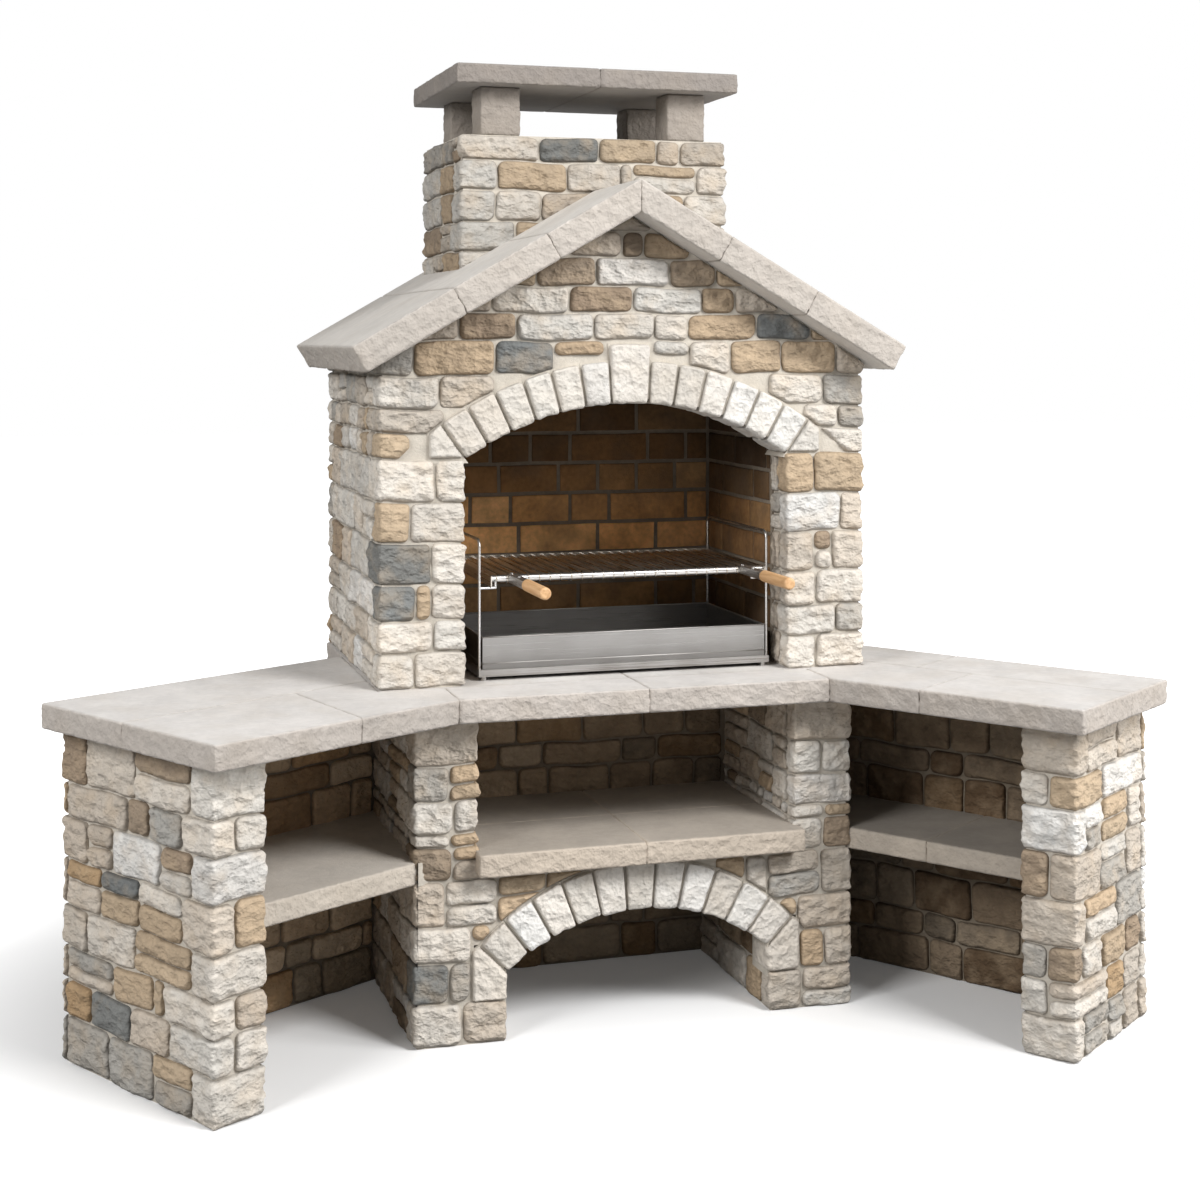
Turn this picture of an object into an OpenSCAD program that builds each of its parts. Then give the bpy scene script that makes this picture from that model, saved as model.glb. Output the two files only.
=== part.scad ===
// Outdoor masonry barbecue with two splayed worktop wings, an arched firebox and a chimney.
// All lengths are millimetres. In the plan used below X = 0 is the middle plane of the centre
// block, Y = 0 is the front face of its piers and Z = 0 is the ground. Every sub-part is then
// moved so that the origin is on the ground under the middle of the whole footprint.
// A point of a wing is given as (a, m): a runs along its front edge, outwards from the corner
// where the wing meets the centre, and m runs from that edge towards the rear.

/* [Worktop] */
// Height of the worktop above the ground
worktop_h = 850; // [800:10:900]
// Thickness of the worktop slabs
slab_t = 60; // [50:1:75]
// Overhang of the worktop in front of the piers and end pillars
nose = 76; // [60:1:90]
// Half of the straight front edge between the two wings
centre_half = 476; // [460:1:500]
// Angle by which the left wing is splayed forwards
left_angle = 30; // [22:1:36]
// Angle by which the right wing is splayed forwards
right_angle = 55; // [48:1:60]
// Length of the left wing's front edge
left_len = 696; // [640:1:760]
// Length of the right wing's front edge
right_len = 673; // [630:1:740]
// Depth of the left wing
left_depth = 685; // [640:1:720]
// Depth of the right wing
right_depth = 506; // [470:1:540]
// Overhang of a wing's slabs past the end pillar
end_overhang = 50; // [30:1:70]
// Overhang of a wing's slabs past its back wall
rear_overhang = 8; // [4:1:20]
// Distance from the corner to the left wing's cross joint, on the front edge
left_cross_front = 297; // [270:1:320]
// Distance from the corner to the left wing's cross joint, at the lengthwise joint
left_cross_rear = 213; // [190:1:240]
// Depth of the left wing's lengthwise joint
left_long_joint = 350; // [320:1:380]
// Distance from the corner to the right wing's cross joint
right_cross = 250; // [220:1:280]
// Depth of the right wing's lengthwise joint
right_long_joint = 280; // [250:1:300]
// Distance from the corner to the second cross joint behind the right wing's lengthwise joint
right_rear_cross = 90; // [60:1:120]

/* [Base] */
// Distance from the middle plane to the outer side of the centre base
base_half = 570; // [550:1:600]
// Distance from the middle plane to the inner side of the open bay
bay_half = 410; // [390:1:430]
// Depth of the open bay and of the wood store under it
bay_depth = 510; // [480:1:540]
// Width of an end pillar
pillar_w = 143; // [120:1:170]
// Thickness of the left wing's back wall
left_wall_t = 110; // [90:1:130]
// Thickness of the right wing's back wall
right_wall_t = 60; // [50:1:80]

/* [Shelves] */
// Height of the centre shelf's top
shelf_h = 470; // [455:1:490]
// Thickness of the centre shelf
shelf_t = 57; // [48:1:60]
// Overhang of the centre shelf in front of the piers
shelf_nose = 52; // [40:1:65]
// Overlap of the shelf's nosing on the pier faces
shelf_lap = 9; // [5:1:15]
// Depth at which the front and rear shelf slabs meet
shelf_joint = 234; // [200:1:260]
// Height of the wing shelves' tops
wing_shelf_h = 450; // [420:1:480]
// Thickness of the wing shelves
wing_shelf_t = 55; // [45:1:60]
// Length by which the wing shelves are let into the walls
shelf_bearing = 30; // [15:1:40]
// Distance from the corner to the joint in the right wing's shelf
right_shelf_joint = 205; // [170:1:240]

/* [Wood store arch] */
// Width of the low jambs on each side of the wood store
store_jamb_w = 70; // [60:1:85]
// Height at which the springer stones start
springer_h = 100; // [90:1:110]
// Height at which the arch springs
store_spring = 170; // [160:1:180]
// Rise of the arch from its springing to its crown
store_rise = 123; // [115:1:130]
// Length of the joint between a springer and its first arch stone
store_joint_len = 95; // [88:1:100]
// Slope of that joint
store_joint_angle = 45; // [43:1:48]
// Width of a springer stone
springer_w = 88; // [84:1:95]
// Height of a springer stone's outer side
springer_side = 125; // [115:1:132]
// Thickness of the arch wall
store_wall_t = 95; // [80:1:110]
// Number of stones between the springers
store_stones = 11; // [9:2:13]
// Distance from the middle plane at which the infill above the arch starts
infill_start = 110; // [100:1:130]

/* [Firebox] */
// Distance from the middle plane to the outer side of the firebox
box_half = 640; // [620:1:660]
// Set-back of the firebox front behind the pier fronts
box_front = 79; // [65:1:95]
// Depth of the firebox from its front to its rear face
box_depth = 776; // [750:1:800]
// Width of a jamb beside the opening
jamb_w = 216; // [200:1:230]
// Thickness of the stone front wall
front_wall_t = 120; // [100:1:140]
// Height of the jambs above the hearth
jamb_h = 558; // [530:1:580]
// Rise of the firebox arch
box_rise = 135; // [125:1:145]
// Depth of the arch ring
ring_depth = 107; // [98:1:115]
// Number of stones on each side of the keystone
ring_stones = 6; // [5:1:8]
// Half of the keystone's width at the opening
key_half = 48; // [40:1:54]
// Height of the keystone
key_h = 148; // [135:1:155]
// Width of a firebox springer stone at its bed
box_springer_w = 94; // [86:1:100]
// Thickness of the side brick linings
lining_t = 110; // [100:1:120]
// Thickness of the rear brick lining
back_lining_t = 60; // [50:1:70]
// Depth of the fire space between the jambs and the back lining
fire_depth = 465; // [450:5:480]
// Height of the brick linings above the crown of the opening
lining_rise = 17; // [10:1:40]
// Thickness of the smoke hood
hood_t = 60; // [50:1:70]
// Overhang of the hearth slabs at the rear
hearth_overhang = 15; // [5:1:25]

/* [Roof and chimney] */
// Height of the ridge above the crown of the firebox arch
ridge_cover = 556; // [540:1:590]
// Slope of the roof
roof_pitch = 30; // [28:1:32]
// Thickness of the roof slabs
roof_t = 72; // [60:1:80]
// Overhang of the roof's top edge past the side walls
eave_overhang = 80; // [65:1:100]
// Overhang of the roof in front of the firebox
roof_front_overhang = 89; // [75:1:110]
// Overhang of the roof behind the firebox
roof_rear_overhang = 63; // [50:1:80]
// Distance from the ridge to the first slab joint
roof_joint_1 = 242; // [225:1:260]
// Distance from the ridge to the second slab joint
roof_joint_2 = 475; // [455:1:495]
// Open joint between two roof slabs
roof_gap = 0.8; // [0.4:0.1:0.9]
// Half of the chimney's width
stack_half = 370; // [350:1:385]
// Depth of the chimney
stack_depth = 477; // [460:1:495]
// Thickness of the chimney's walls
stack_wall = 100; // [85:1:110]
// Height of the chimney walls above the ridge
stack_rise = 138; // [120:1:160]
// Height of the four posts under the cap
post_h = 128; // [110:1:145]
// Width of a post
post_w = 107; // [90:1:120]
// Depth of a post
post_depth = 100; // [90:1:120]
// Distance from the chimney's sides to the posts
post_side = 58; // [45:1:70]
// Distance from the chimney's front and rear to the posts
post_front = 12; // [5:1:20]
// Thickness of the cap slabs
cap_t = 52; // [45:1:60]
// Overhang of the cap at its sides
cap_side = 18; // [10:1:30]
// Overhang of the cap at its front and rear
cap_front = 43; // [30:1:60]

/* [Back wall stones] */
// Usual height of a course of stone in the back walls
course_h = 88; // [70:1:110]
// Usual length of a stone in the back walls
stone_len = 150; // [110:5:200]
// Width of the mortar joints between the stones
joint_w = 9; // [6:0.5:12]
// Depth of the mortar joints behind the stones
joint_deep = 8; // [4:0.5:12]

/* [Grill] */
// Offset of the grill to the right of the middle plane
grill_x = 11; // [0:1:20]
// Distance from a jamb's inner face to the middle of a side rod, with the grill in the middle
rod_room = 40; // [30:1:54]
// Diameter of the side rods and hooks
rod_d = 7; // [6:0.5:8]
// Distance from the pier fronts to the front rods
rod_front = 150; // [140:1:165]
// Distance between the front and rear rods
rod_span = 440; // [420:1:450]
// Height of the side frames above the hearth
frame_h = 354; // [345:1:370]
// Bend radius of the side rods' centre line
bend_r = 20; // [15:1:30]
// Height of the base frame's feet
foot_h = 10; // [8:1:14]
// Diameter of the base frame's feet
foot_d = 14; // [12:1:16]
// Width of the base frame's rails
rail_w = 16; // [14:1:20]
// Height of the base frame's rails
rail_h = 17.7; // [15:0.1:20]
// Length of the ember tray from front to rear
tray_depth = 430; // [410:1:440]
// Height of the ember tray
tray_h = 81; // [70:1:88]
// Sheet thickness of the ember tray
tray_sheet = 2; // [1.5:0.5:3]
// Running clearance above a surface that a moving piece slides or rests on
seat_gap = 0.3; // [0.2:0.05:0.5]
// Sideways clearance between the ember tray and the side rods
tray_clear = 3.5; // [2:0.5:5]
// Distance by which the ember tray stands in front of the front rods
tray_lead = 1.5; // [0:0.5:4]
// Distance by which the base frame's rails pass the rods at the front and rear
frame_lead = 2; // [0:0.5:4]
// Height of the hooks above the hearth
hook_rise = 230; // [220:1:240]
// Length of a hook's arm
hook_len = 41; // [35:1:45]
// Height of a hook's upturned end above its arm
hook_up = 16; // [10:1:16]
// Height of the grate's side plates
plate_h = 26; // [24:1:28]
// Thickness of the grate's side plates
plate_t = 3; // [2:0.5:3]
// Length of the grate's side plates
plate_len = 457; // [453:1:465]
// Distance by which the side plates stand in front of the front rods
plate_lead = 3.5; // [1:0.5:6]
// Sideways clearance between the grate and the right side rods
grate_clear = 0.7; // [0.5:0.1:1]
// Width by which the grate is narrower than the space between the side rods' middles
grate_room = 32; // [26:1:40]
// Diameter of the grate's front tube
tube_d = 19; // [16:1:20]
// Clearance between the front hooks and the front tube
tube_clear = 2; // [1:0.5:4]
// Width of a grate bar
bar_w = 20; // [16:1:22]
// Height of a grate bar
bar_h = 10; // [8:1:11]
// Sheet thickness of a grate bar
bar_sheet = 2; // [1.5:0.5:2.5]
// Distance between two grate bars
bar_pitch = 28; // [26:1:32]
// Clearance between the hooks' upturned ends and the grate bars
bar_clear = 2; // [1:0.5:4]
// Least distance between a side plate and the first grate bar
bar_margin = 3; // [1:1:6]
// Thickness of the grate's rear rail
rear_rail_t = 3; // [2:0.5:4]

/* [Handles] */
// Distance from the grate's side to the middle of a handle
handle_inset = 58; // [40:1:88]
// Width of a handle bracket
bracket_w = 22; // [18:1:26]
// Height of a handle bracket
bracket_h = 20; // [18:1:22]
// Sheet thickness of a handle bracket
bracket_sheet = 2.5; // [2:0.5:3]
// Length of a handle bracket from the tube to the grip
bracket_len = 155; // [140:1:170]
// Diameter of a grip
grip_d = 30; // [27:1:34]
// Length of a grip
grip_len = 170; // [150:1:190]
// Radius of a grip's rounded edges
grip_round = 6; // [4:1:8]
// Diameter of the tang inside a grip
tang_d = 8; // [6:1:10]
// Length of the tang inside a grip
tang_len = 140; // [120:1:145]
// Clearance around the tang
tang_gap = 0.3; // [0.1:0.1:0.5]
// Diameter of a rivet head
rivet_d = 8; // [6:1:10]
// Height of a rivet head
rivet_h = 2.5; // [2:0.5:4]

/* [Hidden] */
// Bonded joint left between two stones of one group
bond = 0.5;
// Extra length by which a cutting solid passes the faces that it cuts
over = 20;
// Length that is larger than the whole object
far = 3000;
$fn = 64;

stone = "#d9d0c3";
slab_stone = "#cfc9c0";
brick = "#8a6440";
concrete = "#9c9892";
steel = "#b9bbbd";
dark_steel = "#4b4a49";
beech = "#cf9b68";

slab_z = worktop_h - slab_t;
box_rear = box_front + box_depth;
box_inner = box_front + front_wall_t;
opening_half = box_half - jamb_w;
leaf_half = opening_half + lining_t;
back_lining_y = box_inner + fire_depth;
rear_wall_y = back_lining_y + back_lining_t;
spring_z = worktop_h + jamb_h;
box_r = (opening_half * opening_half + box_rise * box_rise) / (2 * box_rise);
box_centre_z = spring_z + box_rise - box_r;
lining_z = spring_z + box_rise + lining_rise;

ridge_z = spring_z + box_rise + ridge_cover;
eave_half = box_half + eave_overhang;
roof_front = box_front - roof_front_overhang;
roof_rear = box_rear + roof_rear_overhang;
stack_front = box_rear - stack_depth;
stack_z = roof_under(stack_half) - bond;
stack_top = ridge_z + stack_rise;
cap_z = stack_top + post_h;

shelf_z = shelf_h - shelf_t;
wing_shelf_z = wing_shelf_h - wing_shelf_t;
store_half = bay_half - store_jamb_w;
store_r = (store_half * store_half + store_rise * store_rise) / (2 * store_rise);
store_centre_z = store_spring + store_rise - store_r;
joint_end_x = store_half + store_joint_len * cos(store_joint_angle);
joint_end_z = store_spring + store_joint_len * sin(store_joint_angle);
store_fan_z = store_spring - store_half * tan(store_joint_angle);
outer_rise = shelf_z - bond - joint_end_z;
outer_r = (joint_end_x * joint_end_x + outer_rise * outer_rise) / (2 * outer_rise);

left_pillar_a = left_len - end_overhang - pillar_w;
right_pillar_a = right_len - end_overhang - pillar_w;
left_wall_m = left_depth - rear_overhang - left_wall_t;
right_wall_m = right_depth - rear_overhang - right_wall_t;
left_wall_a = wing_meet(base_half, left_wall_m, left_angle);
left_wall_rear_a = wing_meet(base_half, left_wall_m + left_wall_t, left_angle);
right_wall_a = wing_meet(base_half, right_wall_m, right_angle);
right_wall_rear_a = wing_meet(base_half, right_wall_m + right_wall_t, right_angle);

rail_top = worktop_h + foot_h + rail_h;
rod_r = rod_d / 2;
rod_half = opening_half - rod_room;
rod_rear = rod_front + rod_span;
tray_front = rod_front - rod_r - tray_lead;
tray_half = rod_half - rod_r - tray_clear;
tray_z = rail_top + seat_gap;
arm_z = worktop_h + hook_rise;
plate_z = arm_z + rod_r + seat_gap;
plate_top = plate_z + plate_h;
plate_y = rod_front - rod_r - plate_lead;
grate_right = grill_x + rod_half - rod_r - grate_clear;
grate_w = 2 * rod_half - grate_room;
grate_left = grate_right - grate_w;
grate_mid = (grate_left + grate_right) / 2;
handle_half = grate_w / 2 - handle_inset;
tube_r = tube_d / 2;
tube_y = rod_front + rod_r + tube_clear + tube_r;
tube_z = plate_top - tube_r;
bar_z = arm_z + hook_up + bar_clear;
bar_y = tube_y + tube_r + seat_gap;
rear_rail_y = plate_y + plate_len - rear_rail_t;
bar_room = grate_w - 2 * (plate_t + bar_margin) - bar_w;
bar_gaps = floor(bar_room / bar_pitch);
bracket_top = plate_top + bracket_sheet;
grip_z = bracket_top - bracket_h / 2;
grip_y = tube_y - bracket_len;

left_rear_corner = left_at(left_len, left_depth);
right_rear_corner = right_at(right_len, right_depth);
right_front_corner = right_at(right_len, 0);
origin_x = (left_rear_corner[0] + right_rear_corner[0]) / 2;
origin_y = (right_front_corner[1] + roof_rear) / 2;

// Plan position of a point of the left wing
function left_at(a, m) = [
    -centre_half - a * cos(left_angle) - m * sin(left_angle),
    -nose - a * sin(left_angle) + m * cos(left_angle)
];

// Plan position of a point of the right wing
function right_at(a, m) = [
    centre_half + a * cos(right_angle) + m * sin(right_angle),
    -nose - a * sin(right_angle) + m * cos(right_angle)
];

// Distance a at which a wing's line of depth m meets the plane x from the middle plane
function wing_meet(x, m, angle) = (x - centre_half - m * sin(angle)) / cos(angle);

// Depth of the line that passes a pier's outer front corner, where a wing shelf starts
function shelf_front(angle) = (base_half - centre_half) * sin(angle) + nose * cos(angle);

// Height of the roof's upper and lower surface at a distance x from the ridge
function roof_top(x) = ridge_z - x * tan(roof_pitch);
function roof_under(x) = roof_top(x) - roof_t / cos(roof_pitch);

// Height at a distance x up to which the walls under the roof are built
function wall_top(x) = roof_under(x) - bond;

// Number of courses that fill a height
function course_count(height) = max(1, round(height / course_h));

// Height of the foot of a course, with uneven courses between the lowest and the highest line
function course_foot(height, i) =
    let (count = course_count(height), uneven = (i > 0 && i < count) ? 0.14 * sin(137 * i) : 0)
    height * (i + uneven) / count;

// Number of whole stones in a course
function stone_count(length, i) = max(2, round(length / stone_len + 0.8 * sin(97 * i)));

// Distance of an upright joint from the left end of a course; every other course is set off by half a stone
function upright_joint(length, i, k) =
    length * (k + 0.5 * (i % 2) + 0.2 * sin(61 * i + 149 * k)) / stone_count(length, i);

// Moves the plan used here to the object's own frame
module placed() {
    translate([-origin_x, -origin_y, 0])
        children();
}

module in_left_wing() {
    translate([-centre_half, -nose, 0])
        rotate([0, 0, left_angle])
            mirror([1, 0, 0])
                children();
}

module in_right_wing() {
    translate([centre_half, -nose, 0])
        rotate([0, 0, -right_angle])
            children();
}

module both_sides() {
    children();
    mirror([1, 0, 0])
        children();
}

// Box between two corners
module block(low, high) {
    translate(low)
        cube([high[0] - low[0], high[1] - low[1], high[2] - low[2]]);
}

// Flat slab with a polygon plan
module slab(points, z, t) {
    translate([0, 0, z])
        linear_extrude(height = t)
            polygon(points);
}

// Solid with a polygon elevation in X and Z, from depth y0 to y1
module upright(points, y0, y1) {
    translate([0, y1, 0])
        rotate([90, 0, 0])
            linear_extrude(height = y1 - y0)
                polygon(points);
}

// Round solid along Y
module barrel(x, z, r, y0, y1) {
    translate([x, y1, z])
        rotate([90, 0, 0])
            cylinder(r = r, h = y1 - y0, $fn = 360);
}

// Wedge that opens upwards from a point of the middle plane, between two angles
module fan(z, angle_0, angle_1, y0, y1) {
    upright([
        [0, z],
        [far * cos(angle_0), z + far * sin(angle_0)],
        [far * cos(angle_1), z + far * sin(angle_1)]
    ], y0, y1);
}

// Mortar joints of a wall face whose lower left corner is the origin: X to the right, Y into the wall
module mortar_joints(length, height) {
    count = course_count(height);
    for (i = [0 : count - 1]) {
        foot = course_foot(height, i);
        head = course_foot(height, i + 1);
        if (i > 0)
            block([-over, -over, foot - joint_w / 2], [length + over, joint_deep, foot + joint_w / 2]);
        for (k = [1 - i % 2 : stone_count(length, i) - 1]) {
            x = upright_joint(length, i, k);
            block([x - joint_w / 2, -over, foot], [x + joint_w / 2, joint_deep, head]);
        }
    }
}

// Mortar joints of a face that looks along +Y, given by the corner at its left end
module rear_mortar_joints(length, height) {
    rotate([0, 0, 180])
        mortar_joints(length, height);
}

module left_end_pillar() {
    color(stone) placed() difference() {
        in_left_wing()
            block([left_pillar_a, nose, 0],
                  [left_pillar_a + pillar_w, left_depth - rear_overhang, slab_z]);
        left_shelf_solid();
    }
}

module right_end_pillar() {
    color(stone) placed() difference() {
        in_right_wing()
            block([right_pillar_a, nose, 0],
                  [right_pillar_a + pillar_w, right_depth - rear_overhang, slab_z]);
        right_shelf_solid(0, right_pillar_a + shelf_bearing);
    }
}

// Pier and side wall on the right of the centre bay
module pier_solid() {
    block([bay_half, 0, 0], [base_half, box_rear, slab_z]);
    block([store_half, 0, 0], [bay_half, store_wall_t, springer_h]);
    block([store_half, store_wall_t, 0], [bay_half, bay_depth, shelf_z]);
}

module left_pier() {
    color(stone) placed() difference() {
        mirror([1, 0, 0])
            pier_solid();
        mirror([1, 0, 0])
            springer_stone();
        left_shelf_solid();
    }
}

module right_pier() {
    color(stone) placed() difference() {
        pier_solid();
        springer_stone();
        right_shelf_solid(-far, right_shelf_joint);
    }
}

module left_back_wall() {
    color(stone) placed() difference() {
        intersection() {
            in_left_wing()
                block([-far / 2, left_wall_m, 0], [left_pillar_a, left_wall_m + left_wall_t, slab_z]);
            block([-far, -far, 0], [-base_half, far, slab_z]);
        }
        left_shelf_solid();
        in_left_wing() {
            translate([left_pillar_a, left_wall_m, 0])
                mirror([1, 0, 0])
                    mortar_joints(left_pillar_a - left_wall_a, slab_z);
            translate([left_wall_rear_a, left_wall_m + left_wall_t, 0])
                mirror([0, 1, 0])
                    mortar_joints(left_pillar_a - left_wall_rear_a, slab_z);
        }
    }
}

module right_back_wall() {
    color(stone) placed() difference() {
        intersection() {
            in_right_wing()
                block([-far / 2, right_wall_m, 0], [right_pillar_a, right_wall_m + right_wall_t, slab_z]);
            block([base_half, -far, 0], [far, far, slab_z]);
        }
        right_shelf_solid(-far, right_pillar_a);
        in_right_wing() {
            translate([right_wall_a, right_wall_m, 0])
                mortar_joints(right_pillar_a - right_wall_a, slab_z);
            translate([right_pillar_a, right_wall_m + right_wall_t, 0])
                rear_mortar_joints(right_pillar_a - right_wall_rear_a, slab_z);
        }
    }
}

module centre_back_wall() {
    color(stone) placed() difference() {
        block([-bay_half, bay_depth, 0], [bay_half, box_rear, slab_z]);
        translate([-bay_half, bay_depth, 0])
            mortar_joints(2 * bay_half, slab_z);
        translate([bay_half, box_rear, 0])
            rear_mortar_joints(2 * bay_half, slab_z);
    }
}

// Springer on the right of the wood store
module springer_stone() {
    upright([
        [store_half, springer_h],
        [store_half + springer_w, springer_h],
        [store_half + springer_w, springer_h + springer_side],
        [joint_end_x, joint_end_z],
        [store_half, store_spring]
    ], 0, store_wall_t);
}

module wood_store_springers() {
    color(stone) placed()
        both_sides()
            springer_stone();
}

module wood_store_arch_stones() {
    step = (180 - 2 * store_joint_angle) / store_stones;
    gap = asin(bond / store_r);
    color(stone) placed()
        for (i = [0 : store_stones - 1])
            intersection() {
                difference() {
                    barrel(0, shelf_z - bond - outer_r, outer_r, 0, store_wall_t);
                    barrel(0, store_centre_z, store_r, -over, store_wall_t + over);
                }
                fan(store_fan_z, store_joint_angle + i * step + gap,
                    store_joint_angle + (i + 1) * step - gap, 0, store_wall_t);
            }
}

module wood_store_infill() {
    color(stone) placed()
        both_sides()
            difference() {
                upright([
                    [infill_start, springer_h],
                    [bay_half, springer_h],
                    [bay_half, shelf_z],
                    [infill_start, shelf_z]
                ], 0, store_wall_t);
                barrel(0, shelf_z - bond - outer_r, outer_r + bond, -over, store_wall_t + over);
                springer_stone();
                block([0, -over, 0], [bay_half + over, store_wall_t + over, joint_end_z]);
            }
}

// Whole left wing shelf with the ends that are let into the walls
module left_shelf_solid() {
    front = shelf_front(left_angle);
    rear = left_wall_m + shelf_bearing;
    inner = base_half - shelf_bearing;
    in_left_wing()
        slab([
            [wing_meet(inner, front, left_angle), front],
            [left_pillar_a + shelf_bearing, front],
            [left_pillar_a + shelf_bearing, rear],
            [wing_meet(inner, rear, left_angle), rear]
        ], wing_shelf_z, wing_shelf_t);
}

// Right wing shelf between two distances from the corner
module right_shelf_solid(from, to) {
    front = shelf_front(right_angle);
    rear = right_wall_m + shelf_bearing;
    inner = base_half - shelf_bearing;
    in_right_wing()
        intersection() {
            slab([
                [wing_meet(inner, front, right_angle), front],
                [right_pillar_a + shelf_bearing, front],
                [right_pillar_a + shelf_bearing, rear],
                [wing_meet(inner, rear, right_angle), rear]
            ], wing_shelf_z, wing_shelf_t);
            block([from, 0, 0], [to, far, far]);
        }
}

module left_wing_shelf() {
    color(slab_stone) placed()
        left_shelf_solid();
}

module right_wing_shelf_inner() {
    color(slab_stone) placed()
        right_shelf_solid(-far, right_shelf_joint);
}

module right_wing_shelf_outer() {
    color(slab_stone) placed()
        right_shelf_solid(right_shelf_joint, right_pillar_a + shelf_bearing);
}

module centre_shelf_front() {
    nosing = bay_half + shelf_lap;
    color(slab_stone) placed()
        both_sides()
            slab([
                [bond / 2, -shelf_nose],
                [nosing, -shelf_nose],
                [nosing, 0],
                [bay_half, 0],
                [bay_half, shelf_joint],
                [bond / 2, shelf_joint]
            ], shelf_z, shelf_t);
}

module centre_shelf_rear() {
    color(slab_stone) placed()
        both_sides()
            block([bond / 2, shelf_joint, shelf_z], [bay_half, bay_depth, shelf_h]);
}

// Joint that runs straight back from the corner between the centre and a wing
module corner_joint(x) {
    block([x - bond / 2, -far, slab_z - over], [x + bond / 2, box_front + over, worktop_h + over]);
}

// Left half of the centre slab, and the slab beside it that turns into the left wing
module worktop_centre_left() {
    color(slab_stone) placed() difference() {
        slab([
            [0, -nose],
            [-centre_half, -nose],
            left_at(left_cross_front, 0),
            left_at(left_cross_rear, left_long_joint),
            left_at(wing_meet(box_half, left_long_joint, left_angle), left_long_joint),
            [-box_half, box_front],
            [0, box_front]
        ], slab_z, slab_t);
        corner_joint(-centre_half);
    }
}

module worktop_left_end() {
    color(slab_stone) placed()
        slab([
            left_at(left_cross_front, 0),
            left_at(left_len, 0),
            left_at(left_len, left_long_joint),
            left_at(left_cross_rear, left_long_joint)
        ], slab_z, slab_t);
}

module worktop_left_rear() {
    color(slab_stone) placed()
        slab([
            left_at(left_len, left_long_joint),
            left_at(left_len, left_depth),
            left_at(wing_meet(box_half, left_depth, left_angle), left_depth),
            left_at(wing_meet(box_half, left_long_joint, left_angle), left_long_joint)
        ], slab_z, slab_t);
}

// Right half of the centre slab, and the slab beside it that turns into the right wing
module worktop_centre_right() {
    color(slab_stone) placed() difference() {
        slab([
            [0, -nose],
            [centre_half, -nose],
            right_at(right_cross, 0),
            right_at(right_cross, right_long_joint),
            right_at(wing_meet(box_half, right_long_joint, right_angle), right_long_joint),
            [box_half, box_front],
            [0, box_front]
        ], slab_z, slab_t);
        corner_joint(centre_half);
    }
}

module worktop_right_end() {
    color(slab_stone) placed()
        slab([
            right_at(right_cross, 0),
            right_at(right_len, 0),
            right_at(right_len, right_long_joint),
            right_at(right_cross, right_long_joint)
        ], slab_z, slab_t);
}

module worktop_right_rear_inner() {
    color(slab_stone) placed()
        slab([
            right_at(right_rear_cross, right_long_joint),
            right_at(right_rear_cross, right_depth),
            right_at(wing_meet(box_half, right_depth, right_angle), right_depth),
            right_at(wing_meet(box_half, right_long_joint, right_angle), right_long_joint)
        ], slab_z, slab_t);
}

module worktop_right_rear_outer() {
    color(slab_stone) placed()
        slab([
            right_at(right_rear_cross, right_long_joint),
            right_at(right_len, right_long_joint),
            right_at(right_len, right_depth),
            right_at(right_rear_cross, right_depth)
        ], slab_z, slab_t);
}

module hearth_slabs() {
    color(slab_stone) placed()
        both_sides()
            block([bond / 2, box_front, slab_z], [box_half, box_rear + hearth_overhang, worktop_h]);
}

module jamb_solid() {
    block([opening_half, box_front, worktop_h], [box_half, box_inner, spring_z]);
}

module left_jamb() {
    color(stone) placed()
        mirror([1, 0, 0])
            jamb_solid();
}

module right_jamb() {
    color(stone) placed()
        jamb_solid();
}

// Springer on the right of the firebox opening
module box_springer_stone() {
    angle = acos(opening_half / box_r);
    reach = box_r + 2 * ring_depth;
    intersection() {
        barrel(0, box_centre_z, box_r + ring_depth, box_front, box_inner);
        upright([
            [opening_half, spring_z],
            [opening_half + box_springer_w, spring_z],
            [opening_half + box_springer_w, box_centre_z + reach],
            [reach * cos(angle), box_centre_z + reach * sin(angle)]
        ], box_front, box_inner);
    }
}

module firebox_springers() {
    color(stone) placed()
        both_sides()
            box_springer_stone();
}

module firebox_arch_stones() {
    start = acos(opening_half / box_r);
    step = (90 - asin(key_half / box_r) - start) / ring_stones;
    gap = asin(bond / 2 / box_r);
    color(stone) placed()
        both_sides()
            for (i = [0 : ring_stones - 1])
                intersection() {
                    difference() {
                        barrel(0, box_centre_z, box_r + ring_depth, box_front, box_inner);
                        barrel(0, box_centre_z, box_r, box_front - over, box_inner + over);
                    }
                    fan(box_centre_z, start + i * step + gap, start + (i + 1) * step - gap,
                        box_front, box_inner);
                }
}

// Keystone before its lower end is rounded to the arch
module keystone_blank() {
    angle = asin(key_half / box_r);
    top = spring_z + box_rise + key_h;
    low_half = (spring_z - box_centre_z) * tan(angle);
    top_half = (top - box_centre_z) * tan(angle);
    upright([
        [-low_half, spring_z],
        [low_half, spring_z],
        [top_half, top],
        [-top_half, top]
    ], box_front, box_inner);
}

module keystone() {
    color(stone) placed() difference() {
        keystone_blank();
        barrel(0, box_centre_z, box_r, box_front - over, box_inner + over);
    }
}

module gable_wall() {
    color(stone) placed() difference() {
        upright([
            [-box_half, spring_z],
            [box_half, spring_z],
            [box_half, wall_top(box_half)],
            [0, wall_top(0)],
            [-box_half, wall_top(box_half)]
        ], box_front, box_inner);
        intersection() {
            barrel(0, box_centre_z, box_r + ring_depth, box_front - over, box_inner + over);
            block([-opening_half - box_springer_w, box_front - over, spring_z - over],
                  [opening_half + box_springer_w, box_inner + over, far]);
        }
        keystone_blank();
    }
}

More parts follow.
